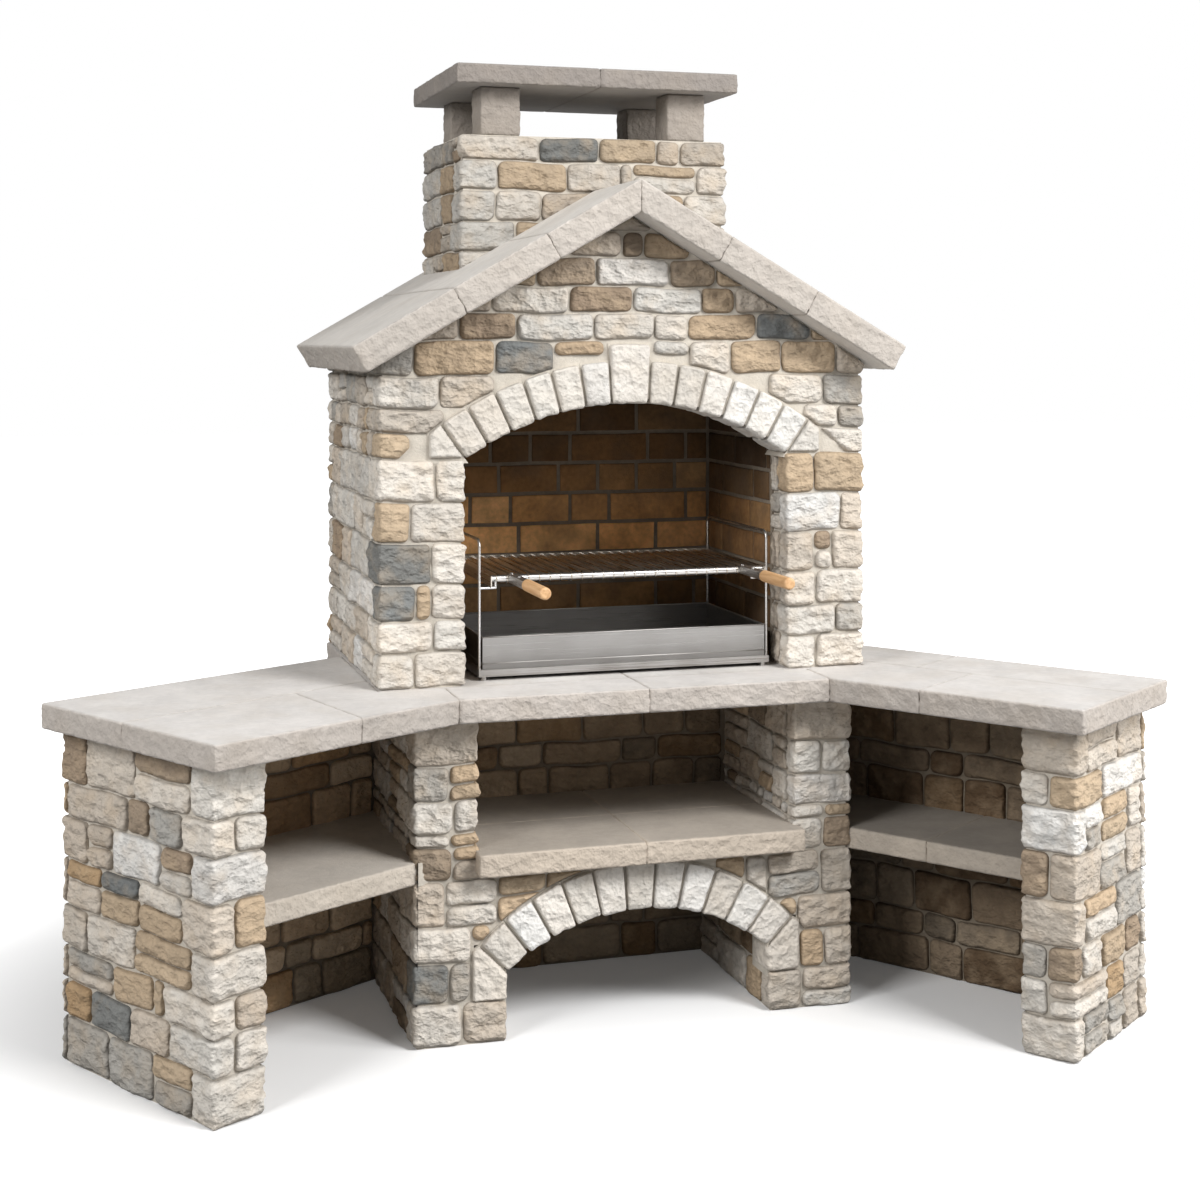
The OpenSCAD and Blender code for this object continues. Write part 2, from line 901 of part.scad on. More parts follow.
module side_wall_solid() {
    upright([
        [leaf_half, worktop_h],
        [box_half, worktop_h],
        [box_half, wall_top(box_half)],
        [leaf_half, wall_top(leaf_half)]
    ], box_inner, box_rear);
}

module left_side_wall() {
    color(stone) placed()
        mirror([1, 0, 0])
            side_wall_solid();
}

module right_side_wall() {
    color(stone) placed()
        side_wall_solid();
}

module rear_wall() {
    color(stone) placed() difference() {
        upright([
            [-leaf_half, worktop_h],
            [leaf_half, worktop_h],
            [leaf_half, wall_top(leaf_half)],
            [0, wall_top(0)],
            [-leaf_half, wall_top(leaf_half)]
        ], rear_wall_y, box_rear);
        block([-stack_half, stack_front, stack_z], [stack_half, box_rear + over, far]);
        translate([leaf_half, box_rear, worktop_h])
            rear_mortar_joints(2 * leaf_half, stack_z - worktop_h);
    }
}

module side_lining_solid() {
    block([opening_half, box_inner, worktop_h], [leaf_half, rear_wall_y, lining_z]);
}

module left_brick_lining() {
    color(brick) placed()
        mirror([1, 0, 0])
            side_lining_solid();
}

module right_brick_lining() {
    color(brick) placed()
        side_lining_solid();
}

module back_brick_lining() {
    color(brick) placed()
        block([-opening_half, back_lining_y, worktop_h], [opening_half, rear_wall_y, lining_z]);
}

// Space that narrows from the linings to the chimney, between given half widths and fronts
module hood_space(low_half, high_half, low_front, high_front, rear, low_z, high_z) {
    intersection() {
        upright([
            [-low_half, low_z],
            [low_half, low_z],
            [high_half, high_z],
            [-high_half, high_z]
        ], low_front - over, rear);
        translate([-low_half - over, 0, 0])
            rotate([90, 0, 90])
                linear_extrude(height = 2 * (low_half + over))
                    polygon([
                        [low_front, low_z],
                        [rear, low_z],
                        [rear, high_z],
                        [high_front, high_z]
                    ]);
    }
}

module smoke_hood() {
    color(concrete) placed() difference() {
        hood_space(leaf_half, stack_half, box_inner, stack_front,
                   rear_wall_y, lining_z, stack_z);
        hood_space(opening_half, stack_half - stack_wall, box_inner + hood_t,
                   stack_front + stack_wall, back_lining_y, lining_z, stack_z);
    }
}

// Roof slab on the right between two distances from the ridge, at full depth
module roof_slab_solid(from, to) {
    drop_x = roof_t * sin(roof_pitch);
    drop_z = roof_t * cos(roof_pitch);
    upright([
        [from, roof_top(from)],
        [to, roof_top(to)],
        [to - drop_x, roof_top(to) - drop_z],
        from < roof_gap ? [from, roof_under(from)] : [from - drop_x, roof_top(from) - drop_z]
    ], roof_front, roof_rear);
}

module chimney_hole() {
    block([-stack_half - bond, stack_front - bond, 0], [stack_half + bond, box_rear + bond, far]);
}

module ridge_slab_solid() {
    difference() {
        roof_slab_solid(bond / 2, roof_joint_1);
        block([-over, stack_front - bond, 0], [far, roof_rear + over, far]);
    }
}

module middle_slab_solid() {
    difference() {
        roof_slab_solid(roof_joint_1 + roof_gap, roof_joint_2);
        chimney_hole();
    }
}

module eave_slab_solid() {
    roof_slab_solid(roof_joint_2 + roof_gap, eave_half);
}

module roof_left_ridge_slab() {
    color(slab_stone) placed()
        mirror([1, 0, 0])
            ridge_slab_solid();
}

module roof_left_middle_slab() {
    color(slab_stone) placed()
        mirror([1, 0, 0])
            middle_slab_solid();
}

module roof_left_eave_slab() {
    color(slab_stone) placed()
        mirror([1, 0, 0])
            eave_slab_solid();
}

module roof_right_ridge_slab() {
    color(slab_stone) placed()
        ridge_slab_solid();
}

module roof_right_middle_slab() {
    color(slab_stone) placed()
        middle_slab_solid();
}

module roof_right_eave_slab() {
    color(slab_stone) placed()
        eave_slab_solid();
}

module roof_rear_ridge_slabs() {
    color(slab_stone) placed()
        both_sides()
            difference() {
                roof_slab_solid(bond / 2, roof_joint_1);
                block([-over, roof_front - over, 0], [far, box_rear + bond, far]);
            }
}

module chimney_stack() {
    color(stone) placed() difference() {
        block([-stack_half, stack_front, stack_z], [stack_half, box_rear, stack_top]);
        block([-stack_half + stack_wall, stack_front + stack_wall, stack_z - over],
              [stack_half - stack_wall, box_rear - stack_wall, stack_top + over]);
    }
}

module chimney_posts() {
    color(slab_stone) placed()
        both_sides()
            for (y = [stack_front + post_front, box_rear - post_front - post_depth])
                block([stack_half - post_side - post_w, y, stack_top],
                      [stack_half - post_side, y + post_depth, cap_z]);
}

module chimney_cap_slabs() {
    color(slab_stone) placed()
        both_sides()
            block([bond / 2, stack_front - cap_front, cap_z],
                  [stack_half + cap_side, box_rear + cap_front, cap_z + cap_t]);
}

// Base frame of four rails on four feet
module grill_base_frame() {
    half = rod_half + rod_r;
    front = rod_front - rail_w / 2 - frame_lead;
    rear = rod_rear + rail_w / 2 + frame_lead;
    color(steel) placed() translate([grill_x, 0, 0]) {
        difference() {
            block([-half, front, rail_top - rail_h], [half, rear, rail_top]);
            block([-half + rail_w, front + rail_w, 0], [half - rail_w, rear - rail_w, far]);
        }
        for (x = [-half + foot_d, half - foot_d])
            for (y = [front + rail_w / 2, rear - rail_w / 2])
                translate([x, y, worktop_h])
                    cylinder(d = foot_d, h = foot_h + rail_h / 2);
    }
}

// Quarter bend of a rod, from +Y round to +Z
module rod_bend() {
    rotate([90, 0, 90])
        rotate_extrude(angle = 90)
            translate([bend_r, 0])
                circle(d = rod_d);
}

// Hook that points to the middle of the grill from the right side frame
module hook(y, z) {
    translate([-hook_len, y, z]) {
        rotate([0, 90, 0])
            cylinder(d = rod_d, h = hook_len);
        sphere(d = rod_d);
        cylinder(d = rod_d, h = hook_up);
    }
}

// Right side frame: two uprights, a top rail, its bends and the hooks
module side_frame_solid() {
    top = worktop_h + frame_h - rod_r;
    for (y = [rod_front, rod_rear])
        translate([0, y, rail_top])
            cylinder(d = rod_d, h = top - bend_r - rail_top);
    translate([0, rod_rear - bend_r, top])
        rotate([90, 0, 0])
            cylinder(d = rod_d, h = rod_span - 2 * bend_r);
    translate([0, rod_rear - bend_r, top - bend_r])
        rod_bend();
    translate([0, rod_front + bend_r, top - bend_r])
        mirror([0, 1, 0])
            rod_bend();
    for (y = [rod_front, rod_rear])
        hook(y, arm_z);
}

module right_side_frame() {
    color(steel) placed()
        translate([grill_x + rod_half, 0, 0])
            side_frame_solid();
}

module left_side_frame() {
    color(steel) placed()
        translate([grill_x - rod_half, 0, 0])
            mirror([1, 0, 0])
                side_frame_solid();
}

module ember_tray() {
    color(steel) placed() translate([grill_x, 0, 0]) difference() {
        block([-tray_half, tray_front, tray_z], [tray_half, tray_front + tray_depth, tray_z + tray_h]);
        block([-tray_half + tray_sheet, tray_front + tray_sheet, tray_z + tray_sheet],
              [tray_half - tray_sheet, tray_front + tray_depth - tray_sheet, far]);
    }
}

module grate_front_tube() {
    color(steel) placed()
        translate([grate_left + plate_t, tube_y, tube_z])
            rotate([0, 90, 0])
                cylinder(d = tube_d, h = grate_w - 2 * plate_t);
}

// Bars of V section that carry the food and drain to the front tube
module grate_bars() {
    color(dark_steel) placed()
        for (i = [0 : bar_gaps])
            translate([grate_mid + (i - bar_gaps / 2) * bar_pitch, 0, 0])
                upright([
                    [-bar_w / 2, bar_z + bar_h],
                    [0, bar_z],
                    [bar_w / 2, bar_z + bar_h],
                    [bar_w / 2 - bar_sheet, bar_z + bar_h],
                    [0, bar_z + bar_sheet],
                    [-bar_w / 2 + bar_sheet, bar_z + bar_h]
                ], bar_y, rear_rail_y - seat_gap);
}

module grate_rear_rail() {
    color(dark_steel) placed()
        block([grate_left + plate_t, rear_rail_y, bar_z],
              [grate_right - plate_t, rear_rail_y + rear_rail_t, plate_top]);
}

module grate_side_plates() {
    color(dark_steel) placed()
        for (x = [grate_left, grate_right - plate_t])
            block([x, plate_y, plate_z], [x + plate_t, plate_y + plate_len, plate_top]);
}

// Folded bracket with the tang that holds the grip
module handle_bracket_solid() {
    half = bracket_w / 2;
    difference() {
        union() {
            block([-half, grip_y, bracket_top - bracket_h], [half, tube_y, bracket_top]);
            barrel(0, grip_z, tang_d / 2, grip_y - tang_len, grip_y + bracket_sheet);
        }
        block([-half + bracket_sheet, grip_y + bracket_sheet, 0],
              [half - bracket_sheet, tube_y + over, bracket_top - bracket_sheet]);
        translate([-far / 2, tube_y, tube_z])
            rotate([0, 90, 0])
                cylinder(d = tube_d, h = far);
        block([-far, tube_y - tube_r, 0], [far, tube_y + over, tube_z]);
    }
}

module left_handle_bracket() {
    color(steel) placed()
        translate([grate_mid - handle_half, 0, 0])
            handle_bracket_solid();
}

module right_handle_bracket() {
    color(steel) placed()
        translate([grate_mid + handle_half, 0, 0])
            handle_bracket_solid();
}

// Turned grip with rounded ends and a blind bore for the tang
module grip_solid() {
    r = grip_d / 2;
    bore = tang_d / 2 + tang_gap;
    arc = [for (t = [0 : 15 : 90]) t];
    profile = concat(
        [[bore, 0]],
        [for (t = arc) [r - grip_round + grip_round * sin(t), grip_round - grip_round * cos(t)]],
        [for (t = arc) [r - grip_round + grip_round * cos(t), grip_len - grip_round + grip_round * sin(t)]],
        [[0, grip_len], [0, tang_len + tang_gap], [bore, tang_len + tang_gap]]
    );
    translate([0, grip_y, grip_z])
        rotate([90, 0, 0])
            rotate_extrude()
                polygon(profile);
}

module left_grip() {
    color(beech) placed()
        translate([grate_mid - handle_half, 0, 0])
            grip_solid();
}

module right_grip() {
    color(beech) placed()
        translate([grate_mid + handle_half, 0, 0])
            grip_solid();
}

module handle_rivets() {
    color(steel) placed()
        for (side = [-1, 1])
            for (y = [tube_y - rivet_d / 2, tube_y - bracket_len / 2])
                translate([grate_mid + side * handle_half, y, bracket_top])
                    cylinder(d = rivet_d, h = rivet_h);
}

left_end_pillar();
right_end_pillar();
left_pier();
right_pier();
left_back_wall();
right_back_wall();
centre_back_wall();
wood_store_springers();
wood_store_arch_stones();
wood_store_infill();
left_wing_shelf();
right_wing_shelf_inner();
right_wing_shelf_outer();
centre_shelf_front();
centre_shelf_rear();
worktop_centre_left();
worktop_centre_right();
worktop_left_end();
worktop_left_rear();
worktop_right_end();
worktop_right_rear_inner();
worktop_right_rear_outer();
hearth_slabs();
left_jamb();
right_jamb();
firebox_springers();
firebox_arch_stones();
keystone();
gable_wall();
left_side_wall();
right_side_wall();
rear_wall();
left_brick_lining();
right_brick_lining();
back_brick_lining();
smoke_hood();
roof_left_ridge_slab();
roof_left_middle_slab();
roof_left_eave_slab();
roof_right_ridge_slab();
roof_right_middle_slab();
roof_right_eave_slab();
roof_rear_ridge_slabs();
chimney_stack();
chimney_posts();
chimney_cap_slabs();
grill_base_frame();
left_side_frame();
right_side_frame();
ember_tray();
grate_front_tube();
grate_bars();
grate_rear_rail();
grate_side_plates();
left_handle_bracket();
right_handle_bracket();
left_grip();
right_grip();
handle_rivets();
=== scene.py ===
"""Outdoor masonry barbecue: split-stone walls, slabs, firebrick and grill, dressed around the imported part.

Plan sizes are millimetres: X = 0 is the middle plane of the centre block, Y = 0 is the front face of its
piers and Z = 0 is the ground. Meshes are written in metres in the part's own frame.
"""

import logging
import math
from dataclasses import dataclass, field, replace
from enum import Enum
from typing import Callable, Iterator, Optional, Sequence

import bmesh
import bpy
import numpy as np
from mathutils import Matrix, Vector
from mathutils.bvhtree import BVHTree


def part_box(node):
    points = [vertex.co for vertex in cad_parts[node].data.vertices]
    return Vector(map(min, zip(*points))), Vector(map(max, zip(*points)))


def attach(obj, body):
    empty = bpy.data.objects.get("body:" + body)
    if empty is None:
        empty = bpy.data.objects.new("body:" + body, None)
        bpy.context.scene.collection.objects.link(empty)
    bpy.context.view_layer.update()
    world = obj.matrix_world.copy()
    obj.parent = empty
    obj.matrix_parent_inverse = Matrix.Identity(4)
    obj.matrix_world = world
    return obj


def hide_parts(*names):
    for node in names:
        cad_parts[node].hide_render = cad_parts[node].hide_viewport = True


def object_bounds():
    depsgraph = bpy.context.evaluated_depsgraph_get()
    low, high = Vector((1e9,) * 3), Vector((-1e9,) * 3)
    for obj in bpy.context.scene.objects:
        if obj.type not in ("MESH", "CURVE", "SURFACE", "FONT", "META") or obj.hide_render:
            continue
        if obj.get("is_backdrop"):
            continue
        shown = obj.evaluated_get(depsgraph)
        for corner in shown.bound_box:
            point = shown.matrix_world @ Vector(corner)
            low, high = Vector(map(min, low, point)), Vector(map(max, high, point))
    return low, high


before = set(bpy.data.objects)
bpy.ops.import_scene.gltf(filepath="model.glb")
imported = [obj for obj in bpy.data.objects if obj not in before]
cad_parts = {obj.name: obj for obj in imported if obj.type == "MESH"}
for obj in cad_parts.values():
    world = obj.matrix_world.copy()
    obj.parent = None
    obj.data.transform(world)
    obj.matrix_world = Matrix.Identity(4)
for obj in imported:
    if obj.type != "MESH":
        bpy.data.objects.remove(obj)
CAD_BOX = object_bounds()
LOG = logging.getLogger("barbecue")

MM = 0.001
BODY = "masonry"
COURSED = ("left_back_wall", "right_back_wall", "centre_back_wall", "rear_wall")
MASONRY_WORDS = (
    "pillar", "pier", "wall", "jamb", "lining", "springers", "arch_stones", "infill", "stack", "keystone",
)
WELD = 1e-5
Pair = tuple[float, float]
Triple = tuple[float, float, float]
Cell = tuple[float, float, float, float]
Plan = Pair
Colour = Triple
Array = np.ndarray
Rng = np.random.Generator
Socket = bpy.types.NodeSocket
Node = bpy.types.Node
Tree = bpy.types.NodeTree
Piece = bpy.types.Object
Material = bpy.types.Material


class Tone(Enum):
    """Tones of the split stone, each with its letter in a course and its colour."""

    WHITE = ("w", (0.800, 0.775, 0.735))
    CREAM = ("c", (0.735, 0.685, 0.615))
    BEIGE = ("b", (0.615, 0.540, 0.455))
    TAN = ("t", (0.560, 0.430, 0.295))
    OCHRE = ("o", (0.500, 0.345, 0.200))
    GREY = ("g", (0.450, 0.425, 0.385))
    SLATE = ("d", (0.225, 0.230, 0.222))
    BROWN = ("n", (0.370, 0.285, 0.205))

    @property
    def letter(self) -> str:
        """Letter that stands for the tone in a course."""
        return self.value[0]

    @property
    def colour(self) -> Colour:
        """Base colour of the tone."""
        return self.value[1]


TONE_OF = {tone.letter: tone.colour for tone in Tone}
PALE_TONES = (
    Tone.CREAM.colour,
    Tone.WHITE.colour,
    tuple(0.5 * (a + b) for a, b in zip(Tone.CREAM.colour, Tone.WHITE.colour)),
)
BRICK_TONES: tuple[Colour, ...] = (
    (0.560, 0.310, 0.130),
    (0.490, 0.260, 0.105),
    (0.630, 0.370, 0.170),
    (0.400, 0.215, 0.090),
)
# Painted shade for stones inside the bays; painted light brightens them towards the left bay and dims them
# towards the right.
BAY_SHADE: Colour = (0.64, 0.54, 0.43)
PAINTED_LIGHT_REACH = 700.0
PAINTED_LIGHT_LIMITS = (-0.6, 1.0)
FACADE = "cccccccwwbbbbbttgnbc"
SHADE = "bbbttcgnbctbgnb"


class Role(Enum):
    """How densely a face is meshed: one the cook sees, one in a bay, or one at the rear."""

    SEEN = 6.5
    BAY = 9.0
    REAR = 14.0


@dataclass(frozen=True)
class PlanFrame:
    """Place of the plan's zero point in the part's own frame, in millimetres."""

    shift_x: float
    shift_y: float

    @classmethod
    def from_part(cls) -> "PlanFrame":
        """Reads the zero point from the jambs and the pier.

        Returns:
            The frame whose X = 0 lies midway between the jambs and whose Y = 0 is the pier front.
        """
        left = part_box("left_jamb")[0].x
        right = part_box("right_jamb")[1].x
        return cls((left + right) / 2 / MM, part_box("left_pier")[0].y / MM)

    def metres(self, points: Array) -> Array:
        """Turns rows of plan millimetres into the part's metres."""
        return (points + np.array([self.shift_x, self.shift_y, 0.0])) * MM


PLAN = PlanFrame.from_part()


@dataclass(frozen=True)
class Wing:
    """A splayed wing whose points are given along (a) and behind (m) its front edge.

    Its end pillar reaches from inner to outer and from front to rear, its back wall from wall to rear.
    """

    corner: Plan
    angle: float
    side: int
    inner: float
    outer: float
    front: float
    wall: float
    rear: float

    def at(self, a: float, m: float) -> Plan:
        """Plan position of a point of the wing."""
        turn = math.radians(self.angle)
        return (
            self.corner[0] + self.side * (a * math.cos(turn) + m * math.sin(turn)),
            self.corner[1] - a * math.sin(turn) + m * math.cos(turn),
        )

    def meet(self, x: float, m: float) -> float:
        """Distance along the wing at which its line of depth m meets the plane x."""
        turn = math.radians(self.angle)
        return (x - abs(self.corner[0]) - m * math.sin(turn)) / math.cos(turn)


LEFT_WING = Wing((-476.0, -76.0), 30.0, -1, inner=503.0, outer=646.0, front=76.0, wall=567.0, rear=677.0)
RIGHT_WING = Wing((476.0, -76.0), 55.0, 1, inner=480.0, outer=623.0, front=76.0, wall=438.0, rear=498.0)


@dataclass
class Placed:
    """Points of a surface with their outward and sideways directions."""

    spot: Array
    out: Array
    along: Array


class Surface:
    """A surface unrolled to u, from left to right, and v, upwards, as its viewer sees it."""

    bends: tuple[float, ...] = ()
    lifts: tuple[float, ...] = ()
    period: float = 0.0

    def place(self, u: Array, v: Array) -> Placed:
        """Finds points at distances to the right and upwards, with their directions."""
        raise NotImplementedError


class WallPath(Surface):
    """Wall face over a plan path, whose corners are rounded and keep their sharp lengths."""

    def __init__(
        self, points: Sequence[Plan], datum: float = 0.0, radius: float = 9.0, closed: bool = False
    ) -> None:
        """Lays the path out.

        Args:
            points: Plan points from left to right as the viewer sees the wall.
            datum: Distance along the path that counts as zero.
            radius: Radius of the corners.
            closed: Whether the path ends where it starts.
        """
        self.closed = closed
        corners = np.array(list(points) + ([points[0]] if closed else []), float)
        legs = corners[1:] - corners[:-1]
        self.lengths = np.hypot(legs[:, 0], legs[:, 1])
        self.dirs = legs / self.lengths[:, None]
        self.starts = np.concatenate([[0.0], np.cumsum(self.lengths)]) - datum
        self.corners = corners
        self.radius = radius
        self.start = float(self.starts[0])
        self.end = float(self.starts[-1])
        self.period = self.end - self.start
        self.bends = tuple(self.starts if closed else self.starts[1:-1])

    def place(self, u: Array, v: Array) -> Placed:
        """Finds points of the wall; the arguments and the result are those of Surface.place."""
        length = self.period
        u = np.mod(u - self.start, length) + self.start if self.closed else u
        leg = np.clip(np.searchsorted(self.starts, u, side="right") - 1, 0, len(self.dirs) - 1)
        along = self.dirs[leg].copy()
        flat = self.corners[leg] + along * (u - self.starts[leg])[:, None]
        out = np.stack([along[:, 1], -along[:, 0]], 1)
        count = len(self.dirs)
        for k in range(count if self.closed else count - 1):
            first, second = self.dirs[k], self.dirs[(k + 1) % count]
            turn = math.atan2(first[0] * second[1] - first[1] * second[0], float(first @ second))
            reach = self.radius * math.tan(abs(turn) / 2)
            here = self.starts[k + 1]
            away = u - here
            if self.closed:
                away = np.mod(away + length / 2, length) - length / 2
            near = np.abs(away) < reach
            if not near.any():
                continue
            angle = (away[near] + reach) / (2 * reach) * turn
            sign = 1.0 if turn > 0 else -1.0
            normal = np.array([first[1], -first[0]])
            centre = self.corners[k + 1] - first * reach - normal * self.radius * sign
            cos, sin = np.cos(angle), np.sin(angle)
            turned = np.stack(
                [normal[0] * cos - normal[1] * sin, normal[0] * sin + normal[1] * cos], 1
            )
            flat[near] = centre + turned * self.radius * sign
            out[near] = turned
            along[near] = np.stack([-turned[:, 1], turned[:, 0]], 1)
        level = np.zeros((len(u), 1))
        return Placed(np.column_stack([flat, v]), np.hstack([out, level]), np.hstack([along, level]))


@dataclass
class ArchRing(Surface):
    """Soffit and front face of an arch: u is the angle from its left end, v runs from the soffit's rear."""

    fan_z: float
    inner: Pair
    outer: Pair
    front: float
    depth: float
    start_angle: float
    radius: float = 7.0

    def __post_init__(self) -> None:
        """Marks the arris where the soffit turns to the front face."""
        self.lifts = (self.depth,)

    def _reach(self, circle: Pair, angle: Array) -> Array:
        """Distance from the fan point to a circle (centre height, radius) along an angle."""
        low = (self.fan_z - circle[0]) * np.sin(angle)
        return -low + np.sqrt(low * low - ((self.fan_z - circle[0]) ** 2 - circle[1] ** 2))

    def place(self, u: Array, v: Array) -> Placed:
        """Finds points of the ring; the arguments and the result are those of Surface.place."""
        angle = self.start_angle - u / self.inner[1]
        ray = np.stack([np.cos(angle), np.zeros_like(u), np.sin(angle)], 1)
        low = self._reach(self.inner, angle)
        high = self._reach(self.outer, angle)
        r = self.radius
        nominal = self.outer[0] + self.outer[1] - self.inner[0] - self.inner[1]
        past = v - self.depth
        share = np.clip(past, 0, None) * (high - low) / max(nominal, 1.0)
        reach = low + share
        back = np.clip(-past, 0, None)
        mix = np.clip((past + r) / (2 * r), 0, 1) * math.pi / 2
        near = np.abs(past) < r
        reach = np.where(near, low + r - r * np.cos(mix), reach)
        back = np.where(near, r - r * np.sin(mix), back)
        spot = ray * reach[:, None]
        spot[:, 1] += self.front + back
        spot[:, 2] += self.fan_z
        inward = -np.stack([spot[:, 0], np.zeros_like(u), spot[:, 2] - self.inner[0]], 1)
        inward /= np.linalg.norm(inward, axis=1)[:, None]
        out = inward * np.cos(mix)[:, None] + np.array([0.0, -1.0, 0.0]) * np.sin(mix)[:, None]
        along = np.stack([np.sin(angle), np.zeros_like(u), -np.cos(angle)], 1)
        return Placed(spot, out, along)


Trim = Callable[[Placed], tuple[Array, Array]]
UNTOUCHED = -500.0


def below_line(x: float, z: float, nx: float, nz: float) -> Trim:
    """Keeps stones on one side of a line in elevation.

    Args:
        x: X of a point of the line.
        z: Height of that point.
        nx: X part of the unit vector that points out of the kept side.
        nz: Height part of that vector.

    Returns:
        A trim that gives each point's distance past the line and the direction of that distance.
    """

    def trim(placed: Placed) -> tuple[Array, Array]:
        """Distance past the line and its direction."""
        spot = placed.spot
        past = (spot[:, 0] - x) * nx + (spot[:, 2] - z) * nz
        return past, np.tile([nx, 0.0, nz], (len(spot), 1))

    return trim


def from_circle(spot: Array, z: float) -> tuple[Array, Array]:
    """Measures points from the centre of an arch in elevation.

    Args:
        spot: The points.
        z: Height of the centre on the middle plane.

    Returns:
        Each point's distance from the centre and the direction away from it.
    """
    away = spot - np.array([0.0, 0.0, z])
    away[:, 1] = 0
    size = np.linalg.norm(away, axis=1)
    return size, away / size[:, None]


def outside_circle(z: float, radius: float, behind: float) -> Trim:
    """Keeps stones outside an arch's extrados, on faces in front of a depth.

    Args:
        z: Height of the circle's centre on the middle plane.
        radius: Radius to stay outside.
        behind: Depth past which the trim doesn't act.

    Returns:
        The trim.
    """

    def trim(placed: Placed) -> tuple[Array, Array]:
        """Distance into the circle and its direction."""
        size, way = from_circle(placed.spot, z)
        return np.where(placed.spot[:, 1] < behind, radius - size, UNTOUCHED), -way

    return trim


def inside_circle(z: float, radius: float) -> Trim:
    """Keeps a stone inside an arch's extrados.

    Args:
        z: Height of the circle's centre on the middle plane.
        radius: Radius to stay inside.

    Returns:
        The trim.
    """

    def trim(placed: Placed) -> tuple[Array, Array]:
        """Distance out of the circle and its direction."""
        size, way = from_circle(placed.spot, z)
        return size - radius, way

    return trim


def outside_block(points: Sequence[Plan], behind: float) -> Trim:
    """Keeps stones outside a convex block of the front elevation and its mirror image.

    Args:
        points: (x, z) corners, anticlockwise, on the right of the middle plane.
        behind: Depth past which the trim doesn't act.

    Returns:
        The trim.
    """
    edge = np.array(points, float)
    leg = np.roll(edge, -1, 0) - edge
    normal = np.stack([leg[:, 1], -leg[:, 0]], 1) / np.hypot(leg[:, 0], leg[:, 1])[:, None]

    def trim(placed: Placed) -> tuple[Array, Array]:
        """Distance into the block and its direction."""
        side = np.sign(placed.spot[:, 0])
        spot = np.stack([np.abs(placed.spot[:, 0]), placed.spot[:, 2]], 1)
        gaps = ((spot[:, None, :] - edge[None]) * normal[None]).sum(2)
        best = gaps.argmax(1)
        way = -normal[best]
        past = np.where(placed.spot[:, 1] < behind, -gaps.max(1), UNTOUCHED)
        return past, np.stack([way[:, 0] * side, np.zeros(len(side)), way[:, 1]], 1)

    return trim


ROOF_LINE = 2015.4
PITCH = math.radians(30)
ROOF_TRIMS = (
    below_line(0, ROOF_LINE, math.sin(PITCH), math.cos(PITCH)),
    below_line(0, ROOF_LINE, -math.sin(PITCH), math.cos(PITCH)),
)


@dataclass(frozen=True)
class StoneCut:
    """How the stones of a face are cut: joint, set-back of the mortar, roundness and unevenness."""

    joint: float = 0.8
    recess: float = 10.0
    tuck: float = 2.5
    corner: Pair = (11.0, 22.0)
    round_off: Pair = (9.0, 15.0)
    skew: float = 2.2
    lean: float = 4.0
    wander: float = 2.2
    proud: float = 0.0
    rim: tuple[float, ...] = (0.0, 1.3, 3.4, 6.6, 11.0)


SPLIT = StoneCut()
DRESSED = StoneCut(
    joint=1.6, recess=8.0, corner=(6.0, 11.0), round_off=(5.0, 8.0), skew=2.0, lean=1.8, wander=0.0,
    proud=3.0,
)
BRICK = StoneCut(
    joint=4.0, recess=4.0, tuck=1.5, corner=(2.0, 4.0), round_off=(2.5, 3.5), skew=1.2, lean=0.6,
    wander=0.5, rim=(0.0, 1.2, 3.2),
)
LEAST_WIDTH = 12.0
LEAST_HEIGHT = 10.0
LEAST_QUADS = 12
LEAST_DEPTH = 7.0


@dataclass(frozen=True)
class Waves:
    """Lengths, in millimetres, of the slow waves by which the joints of a wall wander."""

    level: float = 61.0
    level_drift: float = 170.0
    ripple: float = 27.0
    ripple_share: float = 0.6
    ripple_start: float = 1.7
    side: float = 33.0
    side_drift: float = 210.0
    side_share: float = 0.7

    def bend(self, u: Array, v: Array, reach: float) -> tuple[Array, Array]:
        """Moves points of a wall by the waves.

        Args:
            u: Distances to the right.
            v: Distances upwards.
            reach: How far the joints wander.

        Returns:
            The moved u and v.
        """
        ripple = self.ripple_share * np.sin(u / self.ripple + self.ripple_start)
        v = v + reach * (np.sin(u / self.level + v / self.level_drift) + ripple)
        return u + reach * self.side_share * np.sin(v / self.side + u / self.side_drift), v


@dataclass(frozen=True)
class Weather:
    """How single stones differ in tone, and how painted shade darkens those high up."""

    shade: Pair = (0.88, 1.08)
    tint: float = 0.02
    soot: float = 0.33
    soot_foot: float = 1050.0
    soot_reach: float = 1100.0

    def colour(self, tone: Colour, height: float, rng: Rng) -> Colour:
        """Colour of one stone.

        Args:
            tone: Usual colour of such a stone.
            height: Height of the stone's middle.
            rng: Source of chance.

        Returns:
            The colour with its own shade and tint, darkened high up by painted shade.
        """
        # Painted shade: stones darken the higher they sit.
        risen = min(1.0, max(0.0, (height - self.soot_foot) / self.soot_reach))
        shade = rng.uniform(*self.shade) * (1 - self.soot * risen)
        tint = rng.uniform(-self.tint, self.tint)
        return tone[0] * (shade + tint), tone[1] * shade, tone[2] * (shade - tint)


WAVES = Waves()
TONE_AND_PAINTED_SHADE = Weather()


@dataclass
class Patch:
    """Mesh of one stone's face with what the face tree and the material read."""

    spot: Array
    out: Array
    set_back: Array
    rise: Array
    quads: Array
    colour: Colour
    salt: float


Store = dict[str, list[Patch]]


def file_patch(store: Store, node: str, patch: Optional[Patch]) -> None:
    """Files a stone under its node, unless too little of it is left."""
    if patch:
        store.setdefault(node, []).append(patch)


